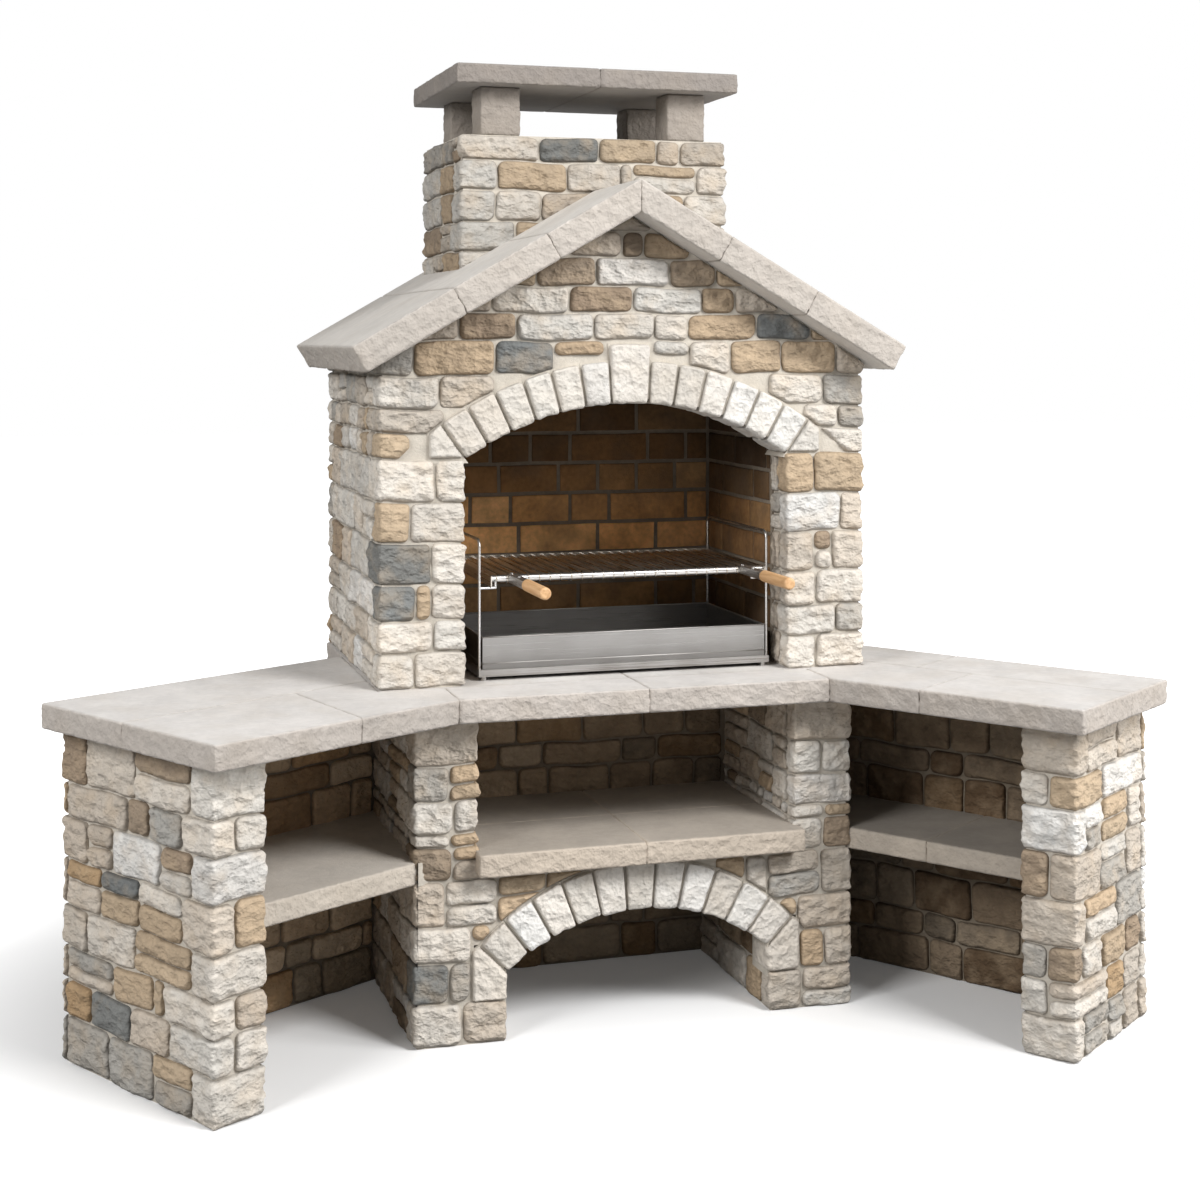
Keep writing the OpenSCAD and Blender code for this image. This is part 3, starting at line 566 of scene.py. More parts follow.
def grid_lines(size: float, rim: Sequence[float], grain: float, dense: Sequence[float]) -> Array:
    """Places grid lines across a stone: close at its rim and at bends, wider inside.

    Args:
        size: Width of the stone.
        rim: Distances of the rim's lines from its edge.
        grain: Distance between the inner lines.
        dense: Places of bends that need close lines.

    Returns:
        The lines' distances from the stone's first edge.
    """
    edge = [r for r in rim if r < size / 2 - 1.0]
    low, high = edge[-1], size - edge[-1]
    count = max(1, round((high - low) / grain))
    inner = list(np.linspace(low, high, count + 1))
    clear, reach, lines = 12, 9, 8
    for bend in dense:
        if low < bend < high:
            inner = [x for x in inner if abs(x - bend) > clear]
            inner += [x for x in np.linspace(bend - reach, bend + reach, lines) if low < x < high]
    return np.unique(np.round(edge + inner + [size - r for r in edge], 3))


def round_rect(
    s: Array, t: Array, width: float, height: float, radii: Sequence[float]
) -> tuple[Array, Array, Array]:
    """Rounds the corners of a rectangular grid without folding it.

    Args:
        s: Distances from the left edge.
        t: Distances from the lower edge.
        width: Width of the rectangle.
        height: Height of the rectangle.
        radii: Corner radii, anticlockwise from the lower left.

    Returns:
        The moved s and t, and each point's distance from the outline.
    """
    s, t = s.copy(), t.copy()
    depth = np.minimum(np.minimum(s, width - s), np.minimum(t, height - t))
    for k, radius in enumerate(radii):
        right, top = k in (1, 2), k in (2, 3)
        x = (s - (width - radius)) if right else (radius - s)
        y = (t - (height - radius)) if top else (radius - t)
        near = (x > 0) & (y > 0)
        a, b = x[near] / radius, y[near] / radius
        fx = a * np.sqrt(1 - b * b / 2)
        fy = b * np.sqrt(1 - a * a / 2)
        s[near] = (width - radius + fx * radius) if right else (radius - fx * radius)
        t[near] = (height - radius + fy * radius) if top else (radius - fy * radius)
        depth[near] = radius * (1 - np.hypot(fx, fy))
    return s, t, depth


def skewed(fs: Array, ft: Array, skew: Array) -> tuple[Array, Array]:
    """Draws the corners of a stone inwards by uneven amounts.

    Args:
        fs: Each point's share of the width.
        ft: Its share of the height.
        skew: Sideways and upward draw of the lower left, upper left, lower right and upper right corner.

    Returns:
        The shifts to the right and upwards.
    """
    left, right = (1 - ft) * skew[0, 0] + ft * skew[1, 0], (1 - ft) * skew[2, 0] + ft * skew[3, 0]
    low, high = (1 - fs) * skew[0, 1] + fs * skew[2, 1], (1 - fs) * skew[1, 1] + fs * skew[3, 1]
    return (1 - fs) * left - fs * right, (1 - ft) * low - ft * high


def pulled_back(
    surface: Surface, u: Array, v: Array, depth: Array, joint: float, trims: Sequence[Trim]
) -> tuple[Array, Array, Array, Array]:
    """Pulls points that lie past a trim back onto it.

    Args:
        surface: Surface on which the points lie.
        u: Distances to the right.
        v: Distances upwards.
        depth: Distances from the stone's outline.
        joint: Half the joint to keep from each trim.
        trims: Lines and arches that the stone stops at.

    Returns:
        The moved u and v, the distances from the new outline, and which points had lain outside.
    """
    outside = np.zeros(len(u), bool)
    for step in range(2):
        for trim in trims:
            placed = surface.place(u, v)
            past, way = trim(placed)
            past = past + joint
            gu = (way * placed.along).sum(1)
            gv = way[:, 2]
            over = past > 0
            if step == 0:
                outside |= over
                depth = np.minimum(depth, np.maximum(-past, 0))
            pull = np.where(over, past / np.maximum(gu * gu + gv * gv, 0.05), 0.0)
            u, v = u - gu * pull, v - gv * pull
    return u, v, depth, outside


def stone_patch(
    surface: Surface,
    cell: Cell,
    colour: Colour,
    cut: StoneCut,
    grain: float,
    trims: Sequence[Trim],
    rng: Rng,
) -> Optional[Patch]:
    """Meshes the face of one stone.

    Args:
        surface: Surface on which the stone lies.
        cell: First and last u and first and last v of the stone with half its joints.
        colour: Colour of the stone.
        cut: How the stone is cut.
        grain: Distance between the mesh lines inside the face.
        trims: Lines and arches that the stone stops at.
        rng: Source of the stone's unevenness.

    Returns:
        The patch, or None where too little of it is left.
    """
    u0, u1, v0, v1 = cell
    u0, u1, v0, v1 = u0 + cut.joint, u1 - cut.joint, v0 + cut.joint, v1 - cut.joint
    width, height = u1 - u0, v1 - v0
    if width < LEAST_WIDTH or height < LEAST_HEIGHT:
        return None
    turns = (-surface.period, 0, surface.period)
    bends = [bend - u0 + turn for bend in surface.bends for turn in turns]
    lines_s = grid_lines(width, cut.rim, grain, bends)
    lines_t = grid_lines(height, cut.rim, grain, [lift - v0 for lift in surface.lifts])
    s, t = [g.ravel() for g in np.meshgrid(lines_s, lines_t, indexing="ij")]
    most = min(width, height) / 2 - 0.5
    radii = [min(most, rng.uniform(*cut.corner)) for _ in range(4)]
    s, t, depth = round_rect(s, t, width, height, radii)
    fs, ft = s / width, t / height
    shift_u, shift_v = skewed(fs, ft, rng.uniform(0, cut.skew, (4, 2)))
    u, v = u0 + s + shift_u, v0 + t + shift_v
    if cut.wander:
        u, v = WAVES.bend(u, v, cut.wander)
    u, v, depth, outside = pulled_back(surface, u, v, depth, cut.joint, trims)
    rows, columns = len(lines_s), len(lines_t)
    index = np.arange(rows * columns).reshape(rows, columns)
    quads = np.stack([index[:-1, :-1], index[1:, :-1], index[1:, 1:], index[:-1, 1:]], -1).reshape(-1, 4)
    quads = quads[~outside[quads].all(1)]
    if len(quads) < LEAST_QUADS or (outside.any() and depth[quads].max() < LEAST_DEPTH):
        return None
    used, quads = np.unique(quads, return_inverse=True)
    quads = quads.reshape(-1, 4)
    u, v, depth, fs, ft = u[used], v[used], depth[used], fs[used], ft[used]
    placed = surface.place(u, v)
    curve = rng.uniform(*cut.round_off)
    part = 1 - np.clip(depth / curve, 0, 1)
    rise = np.sqrt(np.clip(1 - part * part, 0, 1))
    lean = rng.uniform(-cut.lean, cut.lean, 2)
    swell = cut.proud + lean[0] * (fs - 0.5) + lean[1] * (ft - 0.5) - rng.uniform(0.0, 0.8) * cut.lean
    set_back = (rise - 1) * cut.recess + rise * swell - cut.tuck * (depth < 0.4)
    # Random tone of each stone, with painted shade on stones high up.
    mixed = TONE_AND_PAINTED_SHADE.colour(colour, float(placed.spot[:, 2].mean()), rng)
    return Patch(placed.spot, placed.out, set_back, rise, quads, mixed, float(rng.uniform(0, 60)))


@dataclass(frozen=True)
class Course:
    """A course of stones: its height and its stones, each a tone and where it ends.

    Two letters stand for two stones one over the other, a dot for no stone and a "?" for any tone. "*120"
    fills up to 120 with chance stones, a bare "*" fills to the end, and "_120" leaves a gap up to 120.
    """

    height: float
    stones: str = "*"


def course_rows(*rows: tuple) -> list[Course]:
    """Courses from rows of a height and its stones, from the lowest."""
    return [Course(*row) for row in rows]


@dataclass(frozen=True)
class ChanceRule:
    """Proportions of chance stones; lengths are shares of the course's height."""

    length: Pair = (1.0, 2.3)
    tall: float = 105.0
    shortest: float = 0.7
    shortest_tall: float = 100.0
    longest: float = 2.6
    double_from: float = 78.0
    double_share: float = 0.24


CHANCE = ChanceRule()


def fill(start: float, end: float, height: float, tones: str, rng: Rng) -> Iterator[tuple[float, str]]:
    """Picks chance stones for a stretch of a course.

    Args:
        start: Where the stretch starts.
        end: Where it ends.
        height: Height of the course.
        tones: Letters to pick from.
        rng: Source of chance.

    Yields:
        The end of each stone and its letters.
    """
    at = start
    while end - at > 1:
        width = rng.uniform(*CHANCE.length) * min(height, CHANCE.tall)
        if end - at - width < CHANCE.shortest * min(height, CHANCE.shortest_tall):
            width = end - at
            if width > CHANCE.longest * height:
                width /= 2
        letters = str(rng.choice(list(tones)))
        if height > CHANCE.double_from and rng.random() < CHANCE.double_share:
            letters += str(rng.choice(list(tones)))
        at = end if end - at - width < 1 else at + width
        yield at, letters


def course_cells(
    course: Course, start: float, end: float, tones: str, rng: Rng
) -> Iterator[tuple[float, float, str]]:
    """Reads the stones of a course.

    Args:
        course: The course.
        start: Where it starts.
        end: Where it ends.
        tones: Letters that chance stones are picked from.
        rng: Source of chance.

    Yields:
        The start, the end and the letters of each stone.
    """
    at = start
    number_signs = "-0123456789."
    for word in course.stones.split():
        letters = word[0] + word[1:].rstrip(number_signs)
        number = word[len(letters):]
        stop = float(number) if number else end
        if letters == "_":
            at = stop
        elif letters == "*":
            for edge, chosen in fill(at, stop, course.height, tones, rng):
                yield at, edge, chosen
                at = edge
        else:
            yield at, stop, letters
            at = stop


Owner = Callable[[Array, Array], str]
LOOP_SLIDES = (135.0, 60.0)
LOWER_SHARE = (0.42, 0.6)


def always(node: str) -> Owner:
    """Owner that gives every stone to one node."""
    return lambda spot, out: node


@dataclass
class WallFace:
    """A face of stone laid in courses over a surface."""

    surface: WallPath
    low: float
    courses: Sequence[Course]
    owner: Owner
    seed: int
    role: Role = Role.SEEN
    tones: str = FACADE
    trims: Sequence[Trim] = ()
    cut: StoneCut = SPLIT

    def lay(self, store: Store) -> None:
        """Lays the stones and files each under the node that it belongs to.

        Args:
            store: Patches by node name, to which this face's stones are added.
        """
        rng = np.random.default_rng(self.seed)
        path = self.surface
        z = self.low
        for row, course in enumerate(self.courses):
            slide = LOOP_SLIDES[row % 2] if path.closed else 0.0
            start, end = path.start - slide, path.end - slide
            for first, last, letters in course_cells(course, start, end, self.tones, rng):
                letters = letters.replace("?", str(rng.choice(list(self.tones))))
                share = rng.uniform(*LOWER_SHARE) if len(letters) > 1 else 1.0
                middle, top = z + course.height * share, z + course.height
                spans = [(z, middle), (middle, top)] if len(letters) > 1 else [(z, top)]
                for letter, span in zip(letters, spans):
                    if letter != ".":
                        self._stone(store, (first, last, *span), TONE_OF[letter], rng)
            z += course.height

    def _stone(self, store: Store, cell: Cell, tone: Colour, rng: Rng) -> None:
        """Lays one stone; those in a bay get painted shade, and painted light that grows to the left.

        Args:
            store: Patches by node name.
            cell: First and last u and first and last v.
            tone: Colour of the stone in the open.
            rng: Source of chance.
        """
        bay = self.role is Role.BAY
        # Painted shade on a stone in a bay.
        if bay:
            tone = tuple(a * b for a, b in zip(tone, BAY_SHADE))
        patch = stone_patch(self.surface, cell, tone, self.cut, self.role.value, self.trims, rng)
        if patch is None:
            return
        spot, out = patch.spot.mean(0), patch.out.mean(0)
        # Painted light: bay stones grow brighter towards the left and dimmer towards the right.
        if bay:
            wing = min(PAINTED_LIGHT_LIMITS[1], max(PAINTED_LIGHT_LIMITS[0], -float(spot[0]) / PAINTED_LIGHT_REACH))
            patch = replace(patch, colour=tuple(c * 2.0**wing for c in patch.colour))
        file_patch(store, self.owner(spot, out), patch)


@dataclass(frozen=True)
class CourseRule:
    """Rule by which the back walls are coursed, in the solids as here; turns are degrees."""

    height: float = 88.0
    length: float = 150.0
    foot_swing: float = 0.14
    foot_turn: float = 137.0
    count_swing: float = 0.8
    count_turn: float = 97.0
    end_swing: float = 0.2
    end_turns: Pair = (61.0, 149.0)

    def foot(self, total: float, count: int, i: int) -> float:
        """Height of the foot of course i of a wall with so many courses."""
        swing = self.foot_swing * math.sin(math.radians(self.foot_turn * i))
        return total * (i + (swing if 0 < i < count else 0.0)) / count

    def courses(self, length: float, total: float) -> list[Course]:
        """Courses of a wall face.

        Args:
            length: Length of the face.
            total: Its height.

        Returns:
            The courses, from the lowest.
        """
        count = max(1, round(total / self.height))
        by_course, by_stone = self.end_turns
        result = []
        for i in range(count):
            more = self.count_swing * math.sin(math.radians(self.count_turn * i))
            stones = max(2, round(length / self.length + more))
            ends = []
            for k in range(1 - i % 2, stones):
                swing = self.end_swing * math.sin(math.radians(by_course * i + by_stone * k))
                ends.append(length * (k + 0.5 * (i % 2) + swing) / stones)
            words = " ".join(f"?{end:.2f}" for end in [*ends, length])
            result.append(Course(self.foot(total, count, i + 1) - self.foot(total, count, i), words))
        return result


RULE = CourseRule()


def chance_courses(total: float, seed: int, near: float = 88.0) -> list[Course]:
    """Splits a height into courses of chance stones.

    Args:
        total: Height to fill.
        seed: Seed of the chance.
        near: Usual height of a course.

    Returns:
        The courses, from the lowest.
    """
    rng = np.random.default_rng(seed)
    count = max(1, round(total / near))
    shares = rng.uniform(0.82, 1.2, count)
    return [Course(float(h)) for h in shares / shares.sum() * total]


class Graph:
    """Small helper that adds and links the nodes of one node tree."""

    def __init__(self, tree: Tree) -> None:
        """Keeps the tree and clears it."""
        self.tree = tree
        tree.nodes.clear()

    def put(self, target: Socket, value: object) -> None:
        """Links an input to a socket, or sets it to a value.

        Args:
            target: The input.
            value: A source socket or a value.
        """
        if isinstance(value, Socket):
            self.tree.links.new(value, target)
        else:
            target.default_value = value

    def add(self, kind: str, values: Optional[dict] = None, **settings: object) -> Node:
        """Adds a node.

        Args:
            kind: Type name of the node.
            values: Input values or source sockets, by input name or number.
            settings: Attributes of the node.

        Returns:
            The node.
        """
        node = self.tree.nodes.new(kind)
        for name, value in settings.items():
            setattr(node, name, value)
        for key, value in (values or {}).items():
            self.put(node.inputs[key], value)
        return node

    def math(self, operation: str, *values: object) -> Socket:
        """Output of a Math node over numbers or sockets."""
        return self.add("ShaderNodeMath", dict(enumerate(values)), operation=operation).outputs[0]

    def vector(self, operation: str, *values: object) -> Socket:
        """First output of a Vector Math node; a SCALE takes a vector and a number."""
        slots = (0, 3) if operation == "SCALE" else (0, 1)
        return self.add("ShaderNodeVectorMath", dict(zip(slots, values)), operation=operation).outputs[0]

    def noise(self, vector: Socket, scale: object, output: int = 0, **values: float) -> Socket:
        """Output of a Noise Texture node: 0 for its value, 1 for its colour."""
        inputs = {"Vector": vector, "Scale": scale, **values}
        return self.add("ShaderNodeTexNoise", inputs).outputs[output]

    def cells(self, vector: Socket, scale: object) -> Socket:
        """Distance to the nearest point of a Voronoi Texture node."""
        return self.add("ShaderNodeTexVoronoi", {"Vector": vector, "Scale": scale}).outputs["Distance"]

    def ramp(self, value: Socket, span: Pair, result: Pair = (0.0, 1.0), **settings: str) -> Socket:
        """Output of a Map Range node that maps a span of the value to a result."""
        ends = dict(zip(("From Min", "From Max", "To Min", "To Max"), (*span, *result)))
        return self.add("ShaderNodeMapRange", {"Value": value, **ends}, **settings).outputs[0]

    def blend(self, share: object, first: object, second: object, way: str = "MIX") -> Socket:
        """Blends two colours, by mixing them or in another way."""
        inputs = {"Factor": share, 6: first, 7: second}
        return self.add("ShaderNodeMix", inputs, data_type="RGBA", blend_type=way).outputs[2]

    def dimmed(self, colour: Socket, level: Socket) -> Socket:
        """Dims a colour by a level."""
        grey = self.add("ShaderNodeCombineColor", {0: level, 1: level, 2: level}).outputs[0]
        return self.blend(1.0, colour, grey, "MULTIPLY")

    def read(self, name: str, output: str) -> Socket:
        """Output of an Attribute node in a shader tree."""
        return self.add("ShaderNodeAttribute", attribute_name=name).outputs[output]

    def named(self, name: str, kind: str = "FLOAT") -> Socket:
        """Attribute by name in a geometry tree."""
        node = self.add("GeometryNodeInputNamedAttribute", {"Name": name}, data_type=kind)
        return node.outputs["Attribute"]


def grouped(name: str, kind: str, inputs: dict[str, tuple[str, object]], outputs: dict[str, str]) -> tuple:
    """Starts a node group with named sockets.

    Args:
        name: Name of the group.
        kind: Type of the tree.
        inputs: Socket type and default value of each input.
        outputs: Socket type of each output.

    Returns:
        The tree, its graph, the group's input node and its output node.
    """
    tree = bpy.data.node_groups.new(name, kind)
    graph = Graph(tree)
    for label, (socket_type, value) in inputs.items():
        socket = tree.interface.new_socket(name=label, in_out="INPUT", socket_type=socket_type)
        if value is not None:
            socket.default_value = value
    for label, socket_type in outputs.items():
        tree.interface.new_socket(name=label, in_out="OUTPUT", socket_type=socket_type)
    return tree, graph, graph.add("NodeGroupInput"), graph.add("NodeGroupOutput")


def shape_tree(name: str, inputs: dict[str, float]) -> tuple:
    """Starts a geometry tree.

    Args:
        name: Name of the tree.
        inputs: Default value of each number that it takes besides the geometry and the material.

    Returns:
        The tree, its graph, the group's input node and its output node.
    """
    numbers = {label: ("NodeSocketFloat", value) for label, value in inputs.items()}
    shape = {"Geometry": ("NodeSocketGeometry", None)}
    material = {"Material": ("NodeSocketMaterial", None)}
    outputs = {"Geometry": "NodeSocketGeometry"}
    return grouped(name, "GeometryNodeTree", {**shape, **numbers, **material}, outputs)


def end_tree(g: Graph, source: Node, target: Node, shape: Node) -> None:
    """Ends a geometry tree with real geometry in the tree's material.

    Args:
        g: Graph of the tree.
        source: The group's input node.
        target: The group's output node.
        shape: Node whose first output is the shape.
    """
    plain = g.add("GeometryNodeRealizeInstances", {"Geometry": shape.outputs[0]})
    values = {"Geometry": plain.outputs[0], "Material": source.outputs["Material"]}
    g.put(target.inputs[0], g.add("GeometryNodeSetMaterial", values).outputs[0])


def face_tree() -> Tree:
    """Builds the geometry tree that breaks a set-out face into rough stone.

    Returns:
        The tree, with its relief, patch size and stretch as named inputs.
    """
    sizes = {"Relief": 0.004, "Facet Size": 0.045, "Chip Size": 0.016, "Bedding": 1.6, "Seed": 1.0}
    tree, g, source, target = shape_tree("rough stone face", sizes)
    out = g.named("out", "FLOAT_VECTOR")
    rise, back, salt = g.named("rise"), g.named("set_back"), g.named("salt")
    facet, chip = source.outputs["Facet Size"], source.outputs["Chip Size"]
    place = g.add("GeometryNodeInputPosition").outputs[0]
    bedded = g.add("ShaderNodeCombineXYZ", {"X": 1.0, "Y": 1.0, "Z": source.outputs["Bedding"]})
    laid = g.vector("MULTIPLY", place, bedded.outputs[0])
    third = g.math("MULTIPLY", salt, 0.37)
    jump = g.add("ShaderNodeCombineXYZ", {"X": salt, "Y": source.outputs["Seed"], "Z": third})
    moved = g.vector("ADD", laid, jump.outputs[0])
    facets = g.noise(moved, g.math("DIVIDE", 1.0, facet), Detail=2.5, Roughness=0.55)
    bent = g.noise(moved, 28.0, output=1, Detail=1.0)
    warped = g.vector("ADD", moved, g.vector("SCALE", bent, 0.02))
    chips = g.cells(warped, g.math("DIVIDE", 1.3, facet))
    fine = g.noise(moved, g.math("DIVIDE", 1.0, chip), Detail=2.0, Roughness=0.6)
    broad = g.math("MULTIPLY", g.math("SUBTRACT", facets, 0.5), 3.0)
    sharp = g.math("MULTIPLY", g.math("SUBTRACT", chips, 0.45), 2.4)
    small = g.math("MULTIPLY", g.math("SUBTRACT", fine, 0.5), 0.9)
    height = g.math("ADD", g.math("ADD", broad, sharp), small)
    rough = g.math("MULTIPLY", g.math("MULTIPLY", height, source.outputs["Relief"]), rise)
    offset = g.vector("SCALE", out, g.math("ADD", back, rough))
    shape = {"Geometry": source.outputs["Geometry"], "Offset": offset}
    end_tree(g, source, target, g.add("GeometryNodeSetPosition", shape))
    return tree


def tube(g: Graph, source: Node, line: Node, sides: int) -> Node:
    """Runs a round profile of the tree's wire radius along curves.

    Args:
        g: Graph of the tree.
        source: The group's input node.
        line: Node whose first output is the curves.
        sides: Points of the profile.

    Returns:
        The node that puts out the tube.
    """
    size = {"Resolution": sides, "Radius": source.outputs["Wire Radius"]}
    profile = g.add("GeometryNodeCurvePrimitiveCircle", size)
    curves = {"Curve": line.outputs[0], "Profile Curve": profile.outputs[0]}
    return g.add("GeometryNodeCurveToMesh", curves)


def wire_tree() -> Tree:
    """Builds the geometry tree that runs a round wire along edges.

    Returns:
        The tree, with the wire's radius as a named input.
    """
    tree, g, source, target = shape_tree("wire along edges", {"Wire Radius": 0.0015})
    line = g.add("GeometryNodeMeshToCurve", {"Mesh": source.outputs["Geometry"]})
    end_tree(g, source, target, tube(g, source, line, 10))
    return tree


def loop_tree() -> Tree:
    """Builds the geometry tree that sets a round loop across X at every point.

    Returns:
        The tree, with the loop's and the wire's radius as named inputs.
    """
    sizes = {"Loop Radius": 0.01, "Wire Radius": 0.0015}
    tree, g, source, target = shape_tree("loop at every point", sizes)
    loop = {"Resolution": 24, "Radius": source.outputs["Loop Radius"]}
    ring = tube(g, source, g.add("GeometryNodeCurvePrimitiveCircle", loop), 8)
    turned = g.add("GeometryNodeTransform", {"Geometry": ring.outputs[0]})
    turned.inputs["Rotation"].default_value = (0.0, math.pi / 2, 0.0)
    spread = {"Points": source.outputs["Geometry"], "Instance": turned.outputs[0]}
    end_tree(g, source, target, g.add("GeometryNodeInstanceOnPoints", spread))
    return tree


def run_tree(obj: Piece, tree: Tree, values: dict[str, object]) -> Piece:
    """Runs a geometry tree on an object and leaves a plain mesh.

    Args:
        obj: The object that carries the source geometry.
        tree: The geometry tree.
        values: Its input values, by name.

    Returns:
        The object with the tree's result as its mesh.
    """
    modifier = obj.modifiers.new(tree.name, "NODES")
    modifier.node_group = tree
    for item in tree.interface.items_tree:
        if getattr(item, "in_out", "") == "INPUT" and item.name in values:
            modifier[item.identifier] = values[item.name]
    bpy.context.view_layer.update()
    done = obj.evaluated_get(bpy.context.evaluated_depsgraph_get())
    mesh = bpy.data.meshes.new_from_object(done)
    old = obj.data
    obj.modifiers.clear()
    obj.data = mesh
    bpy.data.meshes.remove(old)
    mesh.name = obj.name
    return obj


def new_object(name: str, data: bpy.types.ID) -> Piece:
    """Makes an object and links it to the scene.

    Args:
        name: Name of the object.
        data: Its mesh, lamp or camera.

    Returns:
        The object.
    """
    obj = bpy.data.objects.new(name, data)
    bpy.context.scene.collection.objects.link(obj)
    return obj


def mesh_object(name: str, points: Array, faces: Sequence[Sequence[int]] | Array) -> Piece:
    """Makes a smooth-shaded mesh object from points in metres.

    Args:
        name: Name of the piece.
        points: One row for each point.
        faces: Point numbers of each face.

    Returns:
        The object, linked to the scene.
    """
    mesh = bpy.data.meshes.new(name)
    if isinstance(faces, np.ndarray):
        mesh.vertices.add(len(points))
        mesh.vertices.foreach_set("co", points.astype(np.float32).ravel())
        mesh.loops.add(faces.size)
        mesh.loops.foreach_set("vertex_index", faces.astype(np.int32).ravel())
        mesh.polygons.add(len(faces))
        starts = np.arange(len(faces)) * faces.shape[1]
        mesh.polygons.foreach_set("loop_start", starts.astype(np.int32))
        mesh.update(calc_edges=True)
    else:
        mesh.from_pydata([tuple(p) for p in points], [], [list(f) for f in faces])
    mesh.polygons.foreach_set("use_smooth", np.ones(len(mesh.polygons), bool))
    return new_object(name, mesh)


STORED = {
    "out": ("FLOAT_VECTOR", "vector"),
    "set_back": ("FLOAT", "value"),
    "rise": ("FLOAT", "value"),
    "salt": ("FLOAT", "value"),
    "tone": ("FLOAT_COLOR", "color"),
}
ONLY_FOR_SHAPE = ("out", "set_back", "salt")


def roughen(piece: Piece, stored: dict[str, Array], values: dict[str, object]) -> None:
    """Runs the face tree on a piece and drops what only the tree reads.

    Args:
        piece: The piece.
        stored: Values for each point, by the attribute's name.
        values: Input values of the tree, by name.
    """
    for name, column in stored.items():
        kind, key = STORED[name]
        layer = piece.data.attributes.new(name, kind, "POINT")
        layer.data.foreach_set(key, column.astype(np.float32).ravel())
    run_tree(piece, FACE, values)
    for name in ONLY_FOR_SHAPE:
        layer = piece.data.attributes.get(name)
        if layer:
            piece.data.attributes.remove(layer)


def join(name: str, parts: Sequence[Piece]) -> Piece:
    """Joins objects into one piece and keeps their materials.

    Args:
        name: Name of the piece.
        parts: The objects to join.

    Returns:
        The joined object.
    """
    first = parts[0]
    chosen = {"active_object": first, "object": first, "selected_editable_objects": list(parts)}
    with bpy.context.temp_override(**chosen):
        bpy.ops.object.join()
    first.name = first.data.name = name
    return first


def solid_mass() -> BVHTree:
    """Gathers all the masonry of the part, to ask whether a point lies inside it.

    Returns:
        The search tree of its faces.
    """
    points, faces = [], []
    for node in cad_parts.values():
        if node.data.name not in bpy.data.meshes or not any(key in node.name for key in MASONRY_WORDS):
            continue
        base = len(points)
        points += [v.co.copy() for v in node.data.vertices]
        faces += [[base + k for k in p.vertices] for p in node.data.polygons]
    return BVHTree.FromPolygons(points, faces)


SAMPLE_SHARES = (0.0, 0.5, 0.95)
SAMPLE_LIFT = 2.0 * MM
TIE = 0.05 * MM
LARGE_FACE = 0.05
LARGE_COVER = 0.95
SMALL_COVER = 0.5
HIDDEN_PUSH = 3.0
SAME_WAY = 0.9995


def covered(mass: BVHTree, face: bmesh.types.BMFace) -> float:
    """Share of a face that lies against other masonry.

    Args:
        mass: Search tree of the masonry.
        face: The face.

    Returns:
        The covered share of its sample points.
    """
    centre = face.calc_center_median()
    hits = 0
    spots = [centre.lerp(v.co, part) for v in face.verts for part in SAMPLE_SHARES]
    for spot in spots:
        found = mass.ray_cast(spot + face.normal * SAMPLE_LIFT, face.normal)[0]
        if found is not None:
            near = mass.find_nearest_range(found, TIE)
            hits += any(normal.dot(face.normal) > 0.01 for _, normal, _, _ in near)
    return hits / len(spots)


def without_joints(bm: bmesh.types.BMesh) -> None:
    """Fills the course joints of a back wall's solid, so that its mortar is one flat face.

    Args:
        bm: Mesh of the solid, which is changed.
    """
    spare = bmesh.ops.convex_hull(bm, input=bm.verts)
    loose = {v for v in spare["geom_interior"] + spare["geom_unused"] if isinstance(v, bmesh.types.BMVert)}
    bmesh.ops.delete(bm, geom=list(loose), context="VERTS")
    hull = {e for e in spare["geom"] if isinstance(e, bmesh.types.BMFace)}
    bmesh.ops.delete(bm, geom=[f for f in bm.faces if f not in hull], context="FACES")


def inset_copy(node: str, inset: float, moves: Callable[[Vector], bool], mass: BVHTree) -> Piece:
    """Copies a CAD node's solid with its open faces moved inwards and its covered faces moved outwards.

    Args:
        node: Name of the CAD node.
        inset: Distance in millimetres by which the faces move.
        moves: Whether a face with a given normal moves.
        mass: Search tree of the masonry.

    Returns:
        The closed copy.
    """
    bm = bmesh.new()
    bm.from_mesh(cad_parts[node].data)
    bmesh.ops.remove_doubles(bm, verts=bm.verts, dist=WELD)
    if node in COURSED:
        without_joints(bm)
    bmesh.ops.dissolve_limit(bm, angle_limit=math.radians(0.2), verts=bm.verts, edges=bm.edges)
    bm.normal_update()
    shifts = {}
    for face in bm.faces:
        if moves(face.normal):
            enough = LARGE_COVER if face.calc_area() > LARGE_FACE else SMALL_COVER
            shifts[face] = (inset + HIDDEN_PUSH if covered(mass, face) > enough else -inset) * MM
        else:
            shifts[face] = 0.0
    places = {}
    for vert in bm.verts:
        chosen: list[bmesh.types.BMFace] = []
        for face in vert.link_faces:
            if all(face.normal.dot(other.normal) < SAME_WAY for other in chosen):
                chosen.append(face)
        rows = np.array([list(face.normal) for face in chosen])
        pulls = np.array([shifts[face] for face in chosen])
        places[vert] = np.linalg.lstsq(rows, pulls, rcond=0.05)[0]
    for vert, move in places.items():
        vert.co += Vector(move)
    bmesh.ops.triangulate(bm, faces=bm.faces)
    mesh = bpy.data.meshes.new(node + "_core")
    bm.to_mesh(mesh)
    bm.free()
    return new_object(mesh.name, mesh)


def finish_piece(piece: Piece, slot: str, body: str, *nodes: str) -> None:
    """Hands a finished piece to the frame and reports it.

    Args:
        piece: The piece.
        slot: Not used.
        body: CAD body that the piece moves with.
        nodes: CAD nodes that it stands for.
    """
    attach(piece, body)
    if nodes:
        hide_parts(*nodes)
    piece.data.calc_loop_triangles()
    LOG.info("%s: %d triangles", piece.name, len(piece.data.loop_triangles))


